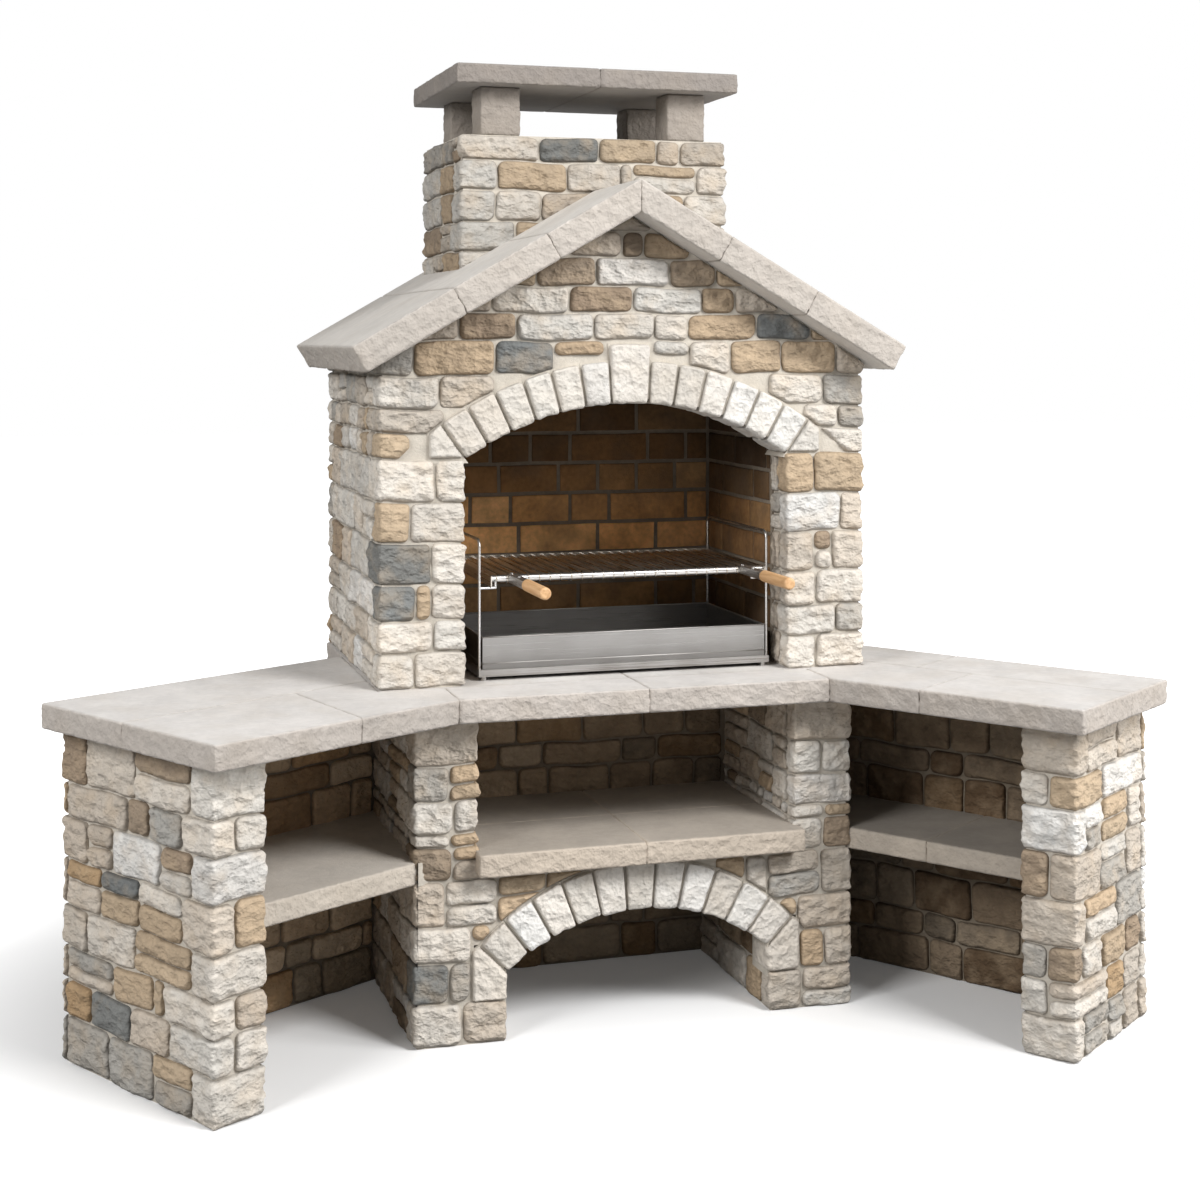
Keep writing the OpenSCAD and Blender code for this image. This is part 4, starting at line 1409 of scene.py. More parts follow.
def cloud_group() -> Tree:
    """Builds the shared group that clouds a colour with a darker and a warmer tint.

    Returns:
        The shader node group.
    """
    tree, g, source, target = grouped(
        "cloudy tone",
        "ShaderNodeTree",
        {
            "Colour": ("NodeSocketColor", (0.5, 0.5, 0.5, 1)),
            "Tint": ("NodeSocketColor", (0.5, 0.5, 0.5, 1)),
            "Scale": ("NodeSocketFloat", 14.0),
            "Depth": ("NodeSocketFloat", 0.3),
            "Tint Share": ("NodeSocketFloat", 0.2),
        },
        {"Colour": "NodeSocketColor"},
    )
    spot = g.add("ShaderNodeTexCoord").outputs["Object"]
    scale = source.outputs["Scale"]
    big = g.noise(spot, scale, Detail=5.0, Roughness=0.6)
    small = g.noise(spot, g.math("MULTIPLY", scale, 7.0), Detail=3.0)
    far = g.noise(g.vector("ADD", spot, (7.3, 1.9, 4.1)), scale, Detail=3.0)
    both = g.math("ADD", g.math("MULTIPLY", big, 0.65), g.math("MULTIPLY", small, 0.35))
    level = g.ramp(both, (0.36, 0.64))
    lack = g.math("MULTIPLY", g.math("SUBTRACT", 1.0, level), source.outputs["Depth"])
    dark = g.dimmed(source.outputs["Colour"], g.math("SUBTRACT", 1.0, lack))
    share = g.math("MULTIPLY", g.ramp(far, (0.45, 0.7)), source.outputs["Tint Share"])
    g.put(target.inputs["Colour"], g.blend(share, dark, source.outputs["Tint"]))
    return tree


def grain_group() -> Tree:
    """Builds the shared group that gives the height of a stone's grain, pits and clefts.

    Returns:
        The shader node group.
    """
    tree, g, source, target = grouped(
        "stone grain",
        "ShaderNodeTree",
        {
            "Scale": ("NodeSocketFloat", 160.0),
            "Marks": ("NodeSocketFloat", 0.5),
            "Cleft": ("NodeSocketFloat", 0.0),
            "Cleft Scale": ("NodeSocketFloat", 48.0),
            "Stretch": ("NodeSocketVector", (1.0, 1.0, 1.0)),
        },
        {"Height": "NodeSocketFloat"},
    )
    spot = g.add("ShaderNodeTexCoord").outputs["Object"]
    laid = g.vector("MULTIPLY", spot, source.outputs["Stretch"])
    scale, size = source.outputs["Scale"], source.outputs["Cleft Scale"]
    grit = g.noise(laid, scale, Detail=6.0, Roughness=0.7)
    broad = g.noise(laid, g.math("MULTIPLY", scale, 0.3), Detail=4.0, Distortion=0.6)
    low = g.ramp(g.cells(laid, g.math("MULTIPLY", scale, 0.55)), (0.05, 0.35))
    marks = g.math("MULTIPLY", g.math("ADD", broad, g.math("MULTIPLY", low, 0.3)), source.outputs["Marks"])
    bent = g.noise(laid, 36.0, output=1, Detail=3.0)
    warped = g.vector("ADD", laid, g.vector("SCALE", bent, 0.014))
    wide = g.cells(warped, size)
    close = g.cells(warped, g.math("MULTIPLY", size, 2.6))
    broken = g.math("ADD", g.math("MULTIPLY", wide, 2.2), g.math("MULTIPLY", close, 0.9))
    cleft = g.math("MULTIPLY", broken, source.outputs["Cleft"])
    total = g.math("ADD", g.math("ADD", g.math("MULTIPLY", grit, 0.5), marks), cleft)
    g.put(target.inputs["Height"], total)
    return tree


CLOUD = cloud_group()
GRAIN = grain_group()
FACE = face_tree()
WIRE = wire_tree()
LOOP = loop_tree()


def new_material(name: str) -> tuple[Material, Graph, Node]:
    """Starts a material with a Principled shader.

    Args:
        name: Name of the finish.

    Returns:
        The material, its graph and its shader.
    """
    material = bpy.data.materials.new(name)
    material.use_nodes = True
    graph = Graph(material.node_tree)
    shader = graph.add("ShaderNodeBsdfPrincipled")
    output = graph.add("ShaderNodeOutputMaterial", {"Surface": shader.outputs[0]})
    output.is_active_output = True
    return material, graph, shader


@dataclass(frozen=True)
class StoneFinish:
    """Mineral finish: clouded colour, grain, a matt surface, painted shade at stone rims, and painted shade
    and light on slab sides.
    """

    name: str
    colour: Optional[Colour] = None
    tint: Colour = (0.55, 0.42, 0.28)
    tint_share: float = 0.25
    cloud_scale: float = 16.0
    cloud_depth: float = 0.28
    grain_scale: float = 150.0
    marks: float = 0.8
    stretch: Triple = (1.0, 1.0, 1.0)
    bump: float = 0.0032
    roughness: float = 0.86
    # Painted shade towards each stone's rim, where it falls into the joint.
    crevice: float = 0.0
    cleft: float = 0.0
    cleft_scale: float = 36.0
    # Colour that multiplies a slab's sides but not its top: painted shade below 1, painted light above 1.
    side: Optional[Colour] = None

    def build(self) -> Material:
        """Builds the material.

        Returns:
            The material; without a colour of its own it takes each stone's tone.
        """
        material, g, shader = new_material(self.name)
        clouds = {
            "Tint": (*self.tint, 1),
            "Scale": self.cloud_scale,
            "Depth": self.cloud_depth,
            "Tint Share": self.tint_share,
        }
        cloud = g.add("ShaderNodeGroup", clouds, node_tree=CLOUD)
        own = self.colour is not None
        g.put(cloud.inputs["Colour"], (*self.colour, 1) if own else g.read("tone", "Color"))
        base = cloud.outputs["Colour"]
        # Painted shade: the colour darkens towards the stone's rim.
        if self.crevice:
            edge = g.ramp(g.read("rise", "Fac"), (0.1, 0.9), (1.0 - self.crevice, 1.0))
            base = g.dimmed(base, edge)
        # Painted shade and light on the slab's sides.
        if self.side:
            base = g.blend(g.read("rise", "Fac"), base, (*self.side, 1), "MULTIPLY")
        g.put(shader.inputs["Base Color"], base)
        grains = {
            "Scale": self.grain_scale,
            "Marks": self.marks,
            "Stretch": self.stretch,
            "Cleft Scale": self.cleft_scale,
        }
        grain = g.add("ShaderNodeGroup", grains, node_tree=GRAIN)
        if self.cleft:
            g.put(grain.inputs["Cleft"], g.math("MULTIPLY", g.read("rise", "Fac"), self.cleft))
        height = {"Strength": 1.0, "Distance": self.bump, "Height": grain.outputs["Height"]}
        g.put(shader.inputs["Normal"], g.add("ShaderNodeBump", height).outputs[0])
        shader.inputs["Roughness"].default_value = self.roughness
        shader.inputs["Specular IOR Level"].default_value = 0.3
        return material


SPLIT_STONE = StoneFinish(
    "split stone", crevice=0.3, cleft=1.0, tint_share=0.3, cloud_depth=0.24, stretch=(1.0, 1.0, 1.4),
)
ARCH_STONE = StoneFinish(
    "pale arch stone", tint=(0.62, 0.52, 0.40), tint_share=0.15, cloud_depth=0.14, crevice=0.2,
    cleft=1.0,
)
# Worktop slabs: sides darker and warmer than the tops, painted shade.
SLAB_STONE = StoneFinish(
    "slab stone", tint=(0.50, 0.44, 0.37), tint_share=0.22, cloud_scale=9.0, cloud_depth=0.16,
    grain_scale=210.0, marks=0.5, bump=0.0018, roughness=0.78, cleft=0.9,
    cleft_scale=52.0, side=(0.73, 0.69, 0.65),
)
MORTAR = StoneFinish(
    "lime mortar", colour=(0.60, 0.55, 0.475), tint=(0.50, 0.44, 0.36), cloud_scale=30.0, cloud_depth=0.2,
    grain_scale=320.0, bump=0.0015, roughness=0.95,
)
SHADED_MORTAR = replace(
    MORTAR, name="shaded lime mortar", colour=(0.30, 0.25, 0.19), tint=(0.24, 0.19, 0.14),
)
BRICK_MORTAR = StoneFinish(
    "brick mortar", colour=(0.27, 0.225, 0.175), tint=(0.17, 0.14, 0.11), cloud_scale=12.0, cloud_depth=0.35,
    grain_scale=320.0, bump=0.001, roughness=0.95,
)
FIREBRICK = StoneFinish(
    "firebrick", tint=(0.13, 0.09, 0.06), tint_share=0.45, cloud_scale=11.0, cloud_depth=0.45,
    grain_scale=260.0, bump=0.0014, roughness=0.9, crevice=0.3,
)
HOOD = StoneFinish(
    "sooty concrete", colour=(0.20, 0.185, 0.17), tint=(0.06, 0.055, 0.05), tint_share=0.6, cloud_scale=6.0,
    cloud_depth=0.4, grain_scale=200.0, bump=0.002, roughness=0.92,
)


@dataclass
class StoneSet:
    """Stone faces by node, turned into one piece for each node with its mortar core."""

    patches: Store = field(default_factory=dict)

    def build(
        self, stone: Material, mortar: Material, inset: float, relief: float, slot: str,
        moves: Callable[[Vector], bool], shaded: Optional[Material] = None,
    ) -> None:
        """Builds a piece for each node.

        Args:
            stone: Finish of the stones.
            mortar: Finish of the joints.
            inset: Set-back of the mortar.
            relief: Roughness of the stone faces in millimetres.
            slot: Not used.
            moves: Whether a face of the core is set back.
            shaded: Finish of the joints of the back walls, or None for the same finish.
        """
        mass = solid_mass()
        steps, step = 5, 0.3
        for count, (node, patches) in enumerate(sorted(self.patches.items())):
            values = {"Relief": relief * MM, "Seed": 3.0 + count, "Material": stone}
            faces = self._faces(node + "_stones", patches, values)
            core = inset_copy(node, inset + step * (count % steps), moves, mass)
            core.data.materials.append(shaded if shaded and node in COURSED else mortar)
            finish_piece(join(node + "_stones", [faces, core]), slot, BODY, node)

    def _faces(self, name: str, patches: list[Patch], values: dict[str, object]) -> Piece:
        """Joins patches into one rough-faced mesh.

        Args:
            name: Name of the piece.
            patches: The patches.
            values: Input values of the face tree.

        Returns:
            The object.
        """
        sizes = [len(patch.spot) for patch in patches]
        bases = np.cumsum([0, *sizes[:-1]])
        quads = np.concatenate([patch.quads + base for patch, base in zip(patches, bases)])
        piece = mesh_object(name, PLAN.metres(np.concatenate([patch.spot for patch in patches])), quads)
        stored = {
            "out": np.concatenate([patch.out for patch in patches]),
            "set_back": np.concatenate([patch.set_back for patch in patches]) * MM,
            "rise": np.concatenate([patch.rise for patch in patches]),
            "salt": np.repeat([patch.salt for patch in patches], sizes),
            "tone": np.repeat([(*patch.colour, 1.0) for patch in patches], sizes, axis=0),
        }
        roughen(piece, stored, values)
        return piece


def upright_faces(normal: Vector) -> bool:
    """Whether a face stands upright."""
    return abs(normal.z) < 0.5


def ring_faces(normal: Vector) -> bool:
    """Whether a face of an arch's core looks to the front, to the rear or down."""
    return abs(normal.y) > 0.9 or normal.z < -0.6


@dataclass(frozen=True)
class StoreArch:
    """Sizes of the wood store's arch; a circle is the height of its centre and its radius."""

    half: float = 340.0
    springer_half: float = 428.0
    foot: float = 100.0
    seat: float = 170.0
    shoulder: float = 225.0
    springer_top: float = 240.0
    depth: float = 95.0
    fan: float = -170.0
    inner: Pair = (-238.4, 531.4)
    outer: Pair = (-148.1, 560.6)
    angle: float = math.radians(45)
    count: int = 11


@dataclass(frozen=True)
class BoxArch:
    """Sizes of the firebox's arch; the circle is the height of its centre and its radius."""

    half: float = 424.0
    springer_half: float = 518.0
    spring: float = 1408.0
    springer_top: float = 1500.0
    front: float = 79.0
    depth: float = 120.0
    circle: Pair = (809.7, 733.3)
    extrados: float = 840.3
    thick: float = 107.0
    key_half: float = 48.0
    key_height: float = 148.0
    count: int = 6


STORE_ARCH = StoreArch()
BOX_ARCH = BoxArch()


@dataclass
class StoneBase:
    """Piers, end pillars, back walls and the wall of the wood store."""

    pier_outer: float = 570.0
    bay_half: float = 410.0
    depth: float = 855.0
    bay_depth: float = 510.0
    top: float = 790.0
    front_leaf: float = 60.0
    infill_foot: float = 101.0
    course_foot: float = 103.0
    arch_radius: float = 561.0
    springer: tuple[Plan, ...] = ((340, 100), (428, 100), (428, 225), (407.2, 237.2), (340, 170))

    def _pier_owner(self, spot: Array, out: Array) -> str:
        """Node of a stone of the centre block.

        Args:
            spot: Middle of the stone.
            out: Direction it faces.

        Returns:
            The node's name.
        """
        inside = abs(spot[0]) < self.bay_half and spot[1] < self.front_leaf
        if inside and spot[2] > self.infill_foot:
            return "wood_store_infill"
        return "left_pier" if spot[0] < 0 else "right_pier"

    def centre(self, store: Store) -> None:
        """Lays the piers and the wall of the wood store.

        Args:
            store: Patches by node name.
        """
        w, b, d, bd = self.pier_outer, self.bay_half, self.depth, self.bay_depth
        j, sp, foot, leaf = STORE_ARCH.half, STORE_ARCH.springer_half, self.course_foot, self.front_leaf
        rear = w - b
        rows = (
            (11, 0, [(-b, d), (-w, d), (-w, 0), (-j, 0), (-j, bd)], rear + d, 103, "*-90 c120 b285 *"),
            (12, 0, [(j, bd), (j, 0), (w, 0), (w, d), (b, d)], bd - w - j, 103, "*850 b1005 cb1200 *"),
            (13, foot, [(-b, d), (-w, d), (-w, 0), (-sp, 0)], rear + d, 97, "*-100 d90 g142"),
            (14, foot, [(sp, 0), (w, 0), (w, d), (b, d)], -w - sp, 97, "t1066 b1205 *"),
        )
        for seed, low, points, datum, height, stones in rows:
            courses = course_rows((height, stones))
            WallFace(WallPath(points, datum), low, courses, self._pier_owner, seed).lay(store)
        front = WallPath([(-b, d), (-w, d), (-w, 0), (w, 0), (w, d), (b, d)], rear + d)
        trims = (
            outside_circle(STORE_ARCH.outer[0], self.arch_radius, leaf),
            outside_block(self.springer, leaf),
        )
        courses = course_rows(
            (87, "*-60 c142 .t190 _943 .t992 b1200 *"),
            (113, "*-100 b80 cc210 tt330 .t430 _770 .t850 c910 gb1055 b1200 *"),
        )
        WallFace(front, 200, courses, self._pier_owner, 15, trims=trims).lay(store)
        face = STORE_ARCH.depth
        for k, points in enumerate(([(-j, face), (-j, bd)], [(j, bd), (j, face)])):
            courses = chance_courses(310, 16 + k)
            WallFace(WallPath(points), foot, courses, self._pier_owner, 18 + k, Role.BAY, SHADE).lay(store)
        left = course_rows(
            (81, "*-100 n95 bt215 *"),
            (32, "*-90 c90 t215 *"),
            (79, "*-100 c100 c215 *"),
            (85, "*-90 g88 tt218 *"),
            (113, "*-90 b220 *"),
        )
        right = course_rows(
            (81, "*920 c1062 n1200 *"),
            (32, "*920 c1065 t1200 *"),
            (79, "*920 w1200 *"),
            (85, "*920 c1060 c1200 *"),
            (113, "*920 b1205 *"),
        )
        path = WallPath([(-b, d), (-w, d), (-w, 0), (-b, 0), (-b, bd)], rear + d)
        WallFace(path, 400, left, self._pier_owner, 21).lay(store)
        path = WallPath([(b, bd), (b, 0), (w, 0), (w, d), (b, d)], bd - w - b)
        WallFace(path, 400, right, self._pier_owner, 22).lay(store)

    def pillars(self, store: Store) -> None:
        """Lays the two end pillars.

        Args:
            store: Patches by node name.
        """
        wing = LEFT_WING
        inner, outer, front, wall, rear = wing.inner, wing.outer, wing.front, wing.wall, wing.rear
        corners = ((inner, rear), (outer, rear), (outer, front), (inner, front), (inner, wall))
        path = WallPath([wing.at(*corner) for corner in corners], outer - inner)
        courses = course_rows(
            (110, "*-70 g15 g190 g367 gt515 c805 *"),
            (85, "b15 o117 d277 b430 c661 c825 *"),
            (80, "*-60 b15 bg205 t367 t408 c664 b815 *"),
            (97, "*-70 b103 c297 tt513 c805 *"),
            (110, "b15 bo157 td312 tc475 b663 t815 *"),
            (100, "*-65 b103 bb207 w397 cn515 w805 *"),
            (80, "t15 b265 n350 g475 c662 c810 *"),
            (128, "*-70 n100 b297 cn508 c805 *"),
        )
        WallFace(path, 0, courses, always("left_end_pillar"), 31).lay(store)
        wing = RIGHT_WING
        inner, outer, front, wall, rear = wing.inner, wing.outer, wing.front, wing.wall, wing.rear
        corners = ((inner, wall), (inner, front), (outer, front), (outer, rear), (inner, rear))
        path = WallPath([wing.at(*corner) for corner in corners], wall - front + outer - inner)
        courses = course_rows(
            (100, "*-205 c52 gg195 cg285 b380 *"),
            (84, "*-215 c-75 cb190 o290 b385 *"),
            (82, "*-205 g-78 n45 c155 t302 n388 *"),
            (108, "*-205 b62 ct245 g390 *"),
            (112, "*-215 n-73 b147 gc300 b390 *"),
            (106, "*-205 w62 gw157 tt312 c390 *"),
            (80, "*-215 c-73 t157 w400 *"),
            (118, "*-205 b68 bb250 b400 *"),
        )
        WallFace(path, 0, courses, always("right_end_pillar"), 32).lay(store)

    def back_walls(self, store: Store) -> None:
        """Lays both faces of the three back walls.

        Args:
            store: Patches by node name.
        """
        half = self.bay_half
        faces = []
        for place, wing in (("left", LEFT_WING), ("right", RIGHT_WING)):
            for depth, role in ((wing.wall, Role.BAY), (wing.rear, Role.REAR)):
                ends = [wing.at(wing.inner, depth), wing.at(wing.meet(self.pier_outer, depth), depth)]
                turned = (wing.side > 0) == (role is Role.BAY)
                faces.append((place, ends[::-1] if turned else ends, role))
        faces.append(("centre", [(-half, self.bay_depth), (half, self.bay_depth)], Role.BAY))
        faces.append(("centre", [(half, self.depth), (-half, self.depth)], Role.REAR))
        for k, (place, points, role) in enumerate(faces):
            path = WallPath(points)
            courses = RULE.courses(path.period, self.top)
            WallFace(path, 0, courses, always(place + "_back_wall"), 50 + k, role, SHADE).lay(store)


@dataclass
class FireboxWalls:
    """Jambs, gable, side walls and rear wall around the firebox."""

    half: float = 640.0
    leaf: float = 534.0
    inner: float = 199.0
    rear: float = 855.0
    hearth: float = 850.0
    stack_foot: float = 1801.74
    upper_foot: float = 1698.0
    key_foot: float = 49.0
    key_head: float = 58.0
    key_top: float = 1691.0

    def _owner(self, spot: Array, out: Array) -> str:
        """Node of a stone of the firebox.

        Args:
            spot: Middle of the stone.
            out: Direction it faces.

        Returns:
            The node's name.
        """
        if spot[1] < self.inner - 20 and abs(spot[0]) < self.half - 1 or out[1] < -0.3:
            if spot[2] > BOX_ARCH.spring:
                return "gable_wall"
            return "left_jamb" if spot[0] < 0 else "right_jamb"
        return "left_side_wall" if spot[0] < 0 else "right_side_wall"

    def lay(self, store: Store) -> None:
        """Lays all the stones of the firebox.

        Args:
            store: Patches by node name.
        """
        o, f, spring = BOX_ARCH.half, BOX_ARCH.front, BOX_ARCH.spring
        h, i, r, w = self.half, self.inner, self.rear, self.leaf
        quoin = h - w + r - f
        left = course_rows(
            (87, "*-90 c88 c290 *"),
            (76, "*-170 c137 c275 *"),
            (89, "*-100 d92 t130 c280 *"),
            (101, "*-160 d132 c275 *"),
            (100, "*-90 t78 c285 *"),
            (105, "*-150 c142 c280 *"),
        )
        path = WallPath([(-w, r), (-h, r), (-h, f), (-o, f), (-o, i)], quoin)
        WallFace(path, self.hearth, left, self._owner, 61).lay(store)
        right = course_rows(
            (87, "*1005 c1147 c1380 *"),
            (76, "*990 c1202 g1360 *"),
            (89, "*1005 c1147 c1385 *"),
            (101, "*1000 b1142 cn1192 b1370 *"),
            (100, "*1010 w1217 b1365 *"),
            (105, "*995 t1142 t1380 *"),
        )
        path = WallPath([(o, i), (o, f), (h, f), (h, r), (w, r)], i - f - o - h)
        WallFace(path, self.hearth, right, self._owner, 65).lay(store)
        key = [(0, spring), (self.key_foot, spring), (self.key_head, self.key_top), (0, self.key_top)]
        ring = outside_circle(BOX_ARCH.circle[0], BOX_ARCH.extrados, i)
        trims = (*ROOF_TRIMS, ring, outside_block(key, i))
        shoulder = course_rows(
            (64, "*-95 t80 t123 _1160 c1380 *"),
            (60, "*-170 b165 _1110 c1207 g1440 *"),
            (80, "*-90 c152 b292 _1015 c1167 g1370 *"),
            (86, "*-160 g87 t290 d442 .t575 _703 .c800 c912 t1052 t1205 b1440 *"),
        )
        path = WallPath([(-w, r), (-h, r), (-h, f), (h, f), (h, r), (w, r)], quoin)
        WallFace(path, spring, shoulder, self._owner, 62, trims=trims).lay(store)
        upper = course_rows(
            (68, "_60 b200 n347 c547 c706 c797 t982 d1132 t1240"),
            (67, "_180 b285 c482 n647 c832 t922 b1045 t1120"),
            (72, "_290 t395 n552 w747 n872 t955 c1000"),
            (67, "_410 c485 b622 n678 t802 b870"),
            (44, "_540 b702 b740"),
        )
        path = WallPath([(-h, f), (h, f)])
        WallFace(path, self.upper_foot, upper, self._owner, 63, trims=trims).lay(store)
        back = WallPath([(w, r), (-w, r)])
        courses = RULE.courses(back.period, self.stack_foot - self.hearth)
        rear = WallFace(back, self.hearth, courses, always("rear_wall"), 64, Role.REAR, trims=ROOF_TRIMS)
        rear.lay(store)


@dataclass
class Chimney:
    """Chimney stack above the roof."""

    half: float = 370.0
    front: float = 378.0
    rear: float = 855.0
    low: float = 1801.74

    def lay(self, store: Store) -> None:
        """Lays the four faces of the stack.

        Args:
            store: Patches by node name.
        """
        h, f, r = self.half, self.front, self.rear
        path = WallPath([(-h, r), (-h, f), (h, f), (h, r)], r - f, closed=True)
        courses = course_rows(
            (48.26, "*"),
            (83, "*"),
            (77, "n-262 bb-130 c152 *600 c830 *"),
            (82, "c-250 t-115 c97 c222 b370 *620 c860 *"),
            (78, "c-262 t-100 c102 t292 c442 b477 ct657 c850 *"),
            (67, "g-225 g-112 nb-30 c217 d382 t542 b607 b860 *"),
        )
        WallFace(path, self.low, courses, always("chimney_stack"), 71).lay(store)


@dataclass
class ArchStones:
    """Voussoirs, springers and keystone of the two arches."""

    low: StoreArch = STORE_ARCH
    box: BoxArch = BOX_ARCH
    slant: Plan = (0.5, 0.866)

    @property
    def box_start(self) -> float:
        """Angle at which the firebox's arch springs."""
        return math.acos(self.box.half / self.box.circle[1])

    def lay(self, store: Store) -> None:
        """Lays the dressed stones of both arches.

        Args:
            store: Patches by node name.
        """
        rng = np.random.default_rng(81)
        low, inner, outer = self.low, self.low.inner, self.low.outer
        ring = ArchRing(low.fan, inner, outer, 0.0, low.depth, math.pi - low.angle)
        step = (math.pi - 2 * low.angle) / low.count * inner[1]
        end = low.depth + (outer[0] + outer[1] - inner[0] - inner[1])
        for k in range(low.count):
            self._stone(store, "wood_store_arch_stones", ring, (k * step, (k + 1) * step, 0, end), rng)
        self._box_ring(store, rng)
        self._springers(store, rng)

    def _box_ring(self, store: Store, rng: Rng) -> None:
        """Lays the voussoirs of the firebox's arch from both sides, then its keystone.

        Args:
            store: Patches by node name.
            rng: Source of chance.
        """
        box, circle, start = self.box, self.box.circle, self.box_start
        key = math.asin(box.key_half / circle[1])
        step = (math.pi / 2 - key - start) / box.count * circle[1]
        outer = (circle[0], circle[1] + box.thick)
        ring = ArchRing(circle[0], circle, outer, box.front, box.depth, math.pi - start)
        full = (math.pi - 2 * start) * circle[1]
        end = box.depth + box.thick
        for k in range(box.count):
            for first, last in ((k * step, (k + 1) * step), (full - (k + 1) * step, full - k * step)):
                self._stone(store, "firebox_arch_stones", ring, (first, last, 0, end), rng)
        middle = (box.count * step, full - box.count * step, 0, box.depth + box.key_height)
        self._stone(store, "keystone", ring, middle, rng, replace(DRESSED, proud=5.0, skew=1.2))

    def _stone(
        self, store: Store, node: str, ring: ArchRing, cell: Cell, rng: Rng, cut: StoneCut = DRESSED
    ) -> None:
        """Lays one pale stone over a cell of a ring and files it under its node."""
        colour = PALE_TONES[int(rng.integers(len(PALE_TONES)))]
        file_patch(store, node, stone_patch(ring, cell, colour, cut, Role.SEEN.value, (), rng))

    def _springers(self, store: Store, rng: Rng) -> None:
        """Lays the four springers.

        Args:
            store: Patches by node name.
            rng: Source of chance.
        """
        low, box, start = self.low, self.box, self.box_start
        turn = math.sqrt(0.5)
        cream, grain = TONE_OF["c"], Role.SEEN.value
        for side in (-1, 1):
            inner, outer = side * low.half, side * low.springer_half
            points = [(inner, low.depth), (inner, 0), (outer, 0)]
            trims = (
                below_line(inner, low.seat, -side * turn, turn),
                below_line(outer, low.shoulder, side * self.slant[0], self.slant[1]),
            )
            cell = (0, low.depth + low.springer_half - low.half, low.foot, low.springer_top)
            path = WallPath(points[::side])
            patch = stone_patch(path, cell, cream, DRESSED, grain, trims, rng)
            file_patch(store, "wood_store_springers", patch)
            inner, outer = side * box.half, side * box.springer_half
            trims = (
                below_line(inner, box.spring, -side * math.sin(start), math.cos(start)),
                inside_circle(box.circle[0], box.extrados),
            )
            cell = (0, box.springer_half - box.half, box.spring, box.springer_top)
            path = WallPath([(inner, box.front), (outer, box.front)][::side])
            patch = stone_patch(path, cell, cream, DRESSED, grain, trims, rng)
            file_patch(store, "firebox_springers", patch)


@dataclass
class BrickLining:
    """Fired bricks in running bond on the three inner faces of the firebox."""

    half: float = 424.0
    front: float = 199.0
    rear: float = 664.0
    low: float = 850.0
    top: float = 1560.0
    brick: float = 230.0
    pitch: float = 84.0
    cuts: tuple[float, ...] = (1.0, 1.0, 1.0, 0.75, 0.5)
    start: float = 24.0
    # Painted light: a band of light over the grate brightens the bricks above their darker level; the side
    # linings are dimmed by painted shade.
    bright: float = 1150.0
    spread: float = 125.0
    dark: float = 0.45
    glow: float = 2.1
    side_level: float = 0.34
    grain: float = 24.0

    def lay(self, store: Store) -> None:
        """Lays the bricks of the three linings.

        Args:
            store: Patches by node name.
        """
        rng = np.random.default_rng(91)
        h = self.half
        faces = (
            ("left_brick_lining", [(-h, self.front), (-h, self.rear)]),
            ("back_brick_lining", [(-h, self.rear), (h, self.rear)]),
            ("right_brick_lining", [(h, self.rear), (h, self.front)]),
        )
        rows = math.ceil((self.top - self.low) / self.pitch)
        for node, points in faces:
            path = WallPath(points)
            for row in range(rows):
                base = self.low + row * self.pitch
                top = min(base + self.pitch, self.top)
                # Painted light and shade on the row, dimmer on the side linings.
                level = self._level((base + top) / 2) * (1.0 if node.startswith("back") else self.side_level)
                at = path.start - (self.brick / 2 if row % 2 else self.start)
                while at < path.end - 1:
                    size = self.brick * rng.choice(self.cuts)
                    cell = (max(at, path.start), min(at + size, path.end), base, top)
                    at += size
                    tone = BRICK_TONES[int(rng.integers(len(BRICK_TONES)))]
                    colour = tuple(c * level for c in tone)
                    file_patch(store, node, stone_patch(path, cell, colour, BRICK, self.grain, (), rng))

    def _level(self, height: float) -> float:
        """Brightness of the bricks at a height: painted light in a band over the grate, darker above and
        below with painted shade and soot.
        """
        return self.dark + self.glow * math.exp(-((height - self.bright) / self.spread) ** 2)


@dataclass
class Rim:
    """Points round a slab on its upper and lower outline, with their inward and outward directions."""

    top: Array
    low: Array
    inward: Array
    outward: Array


@dataclass
class ShellMesh:
    """Lists in which the shells of one slab piece are gathered."""

    points: list = field(default_factory=list)
    faces: list = field(default_factory=list)
    masks: list = field(default_factory=list)
    outs: list = field(default_factory=list)
    tones: list = field(default_factory=list)
    flats: list = field(default_factory=list)


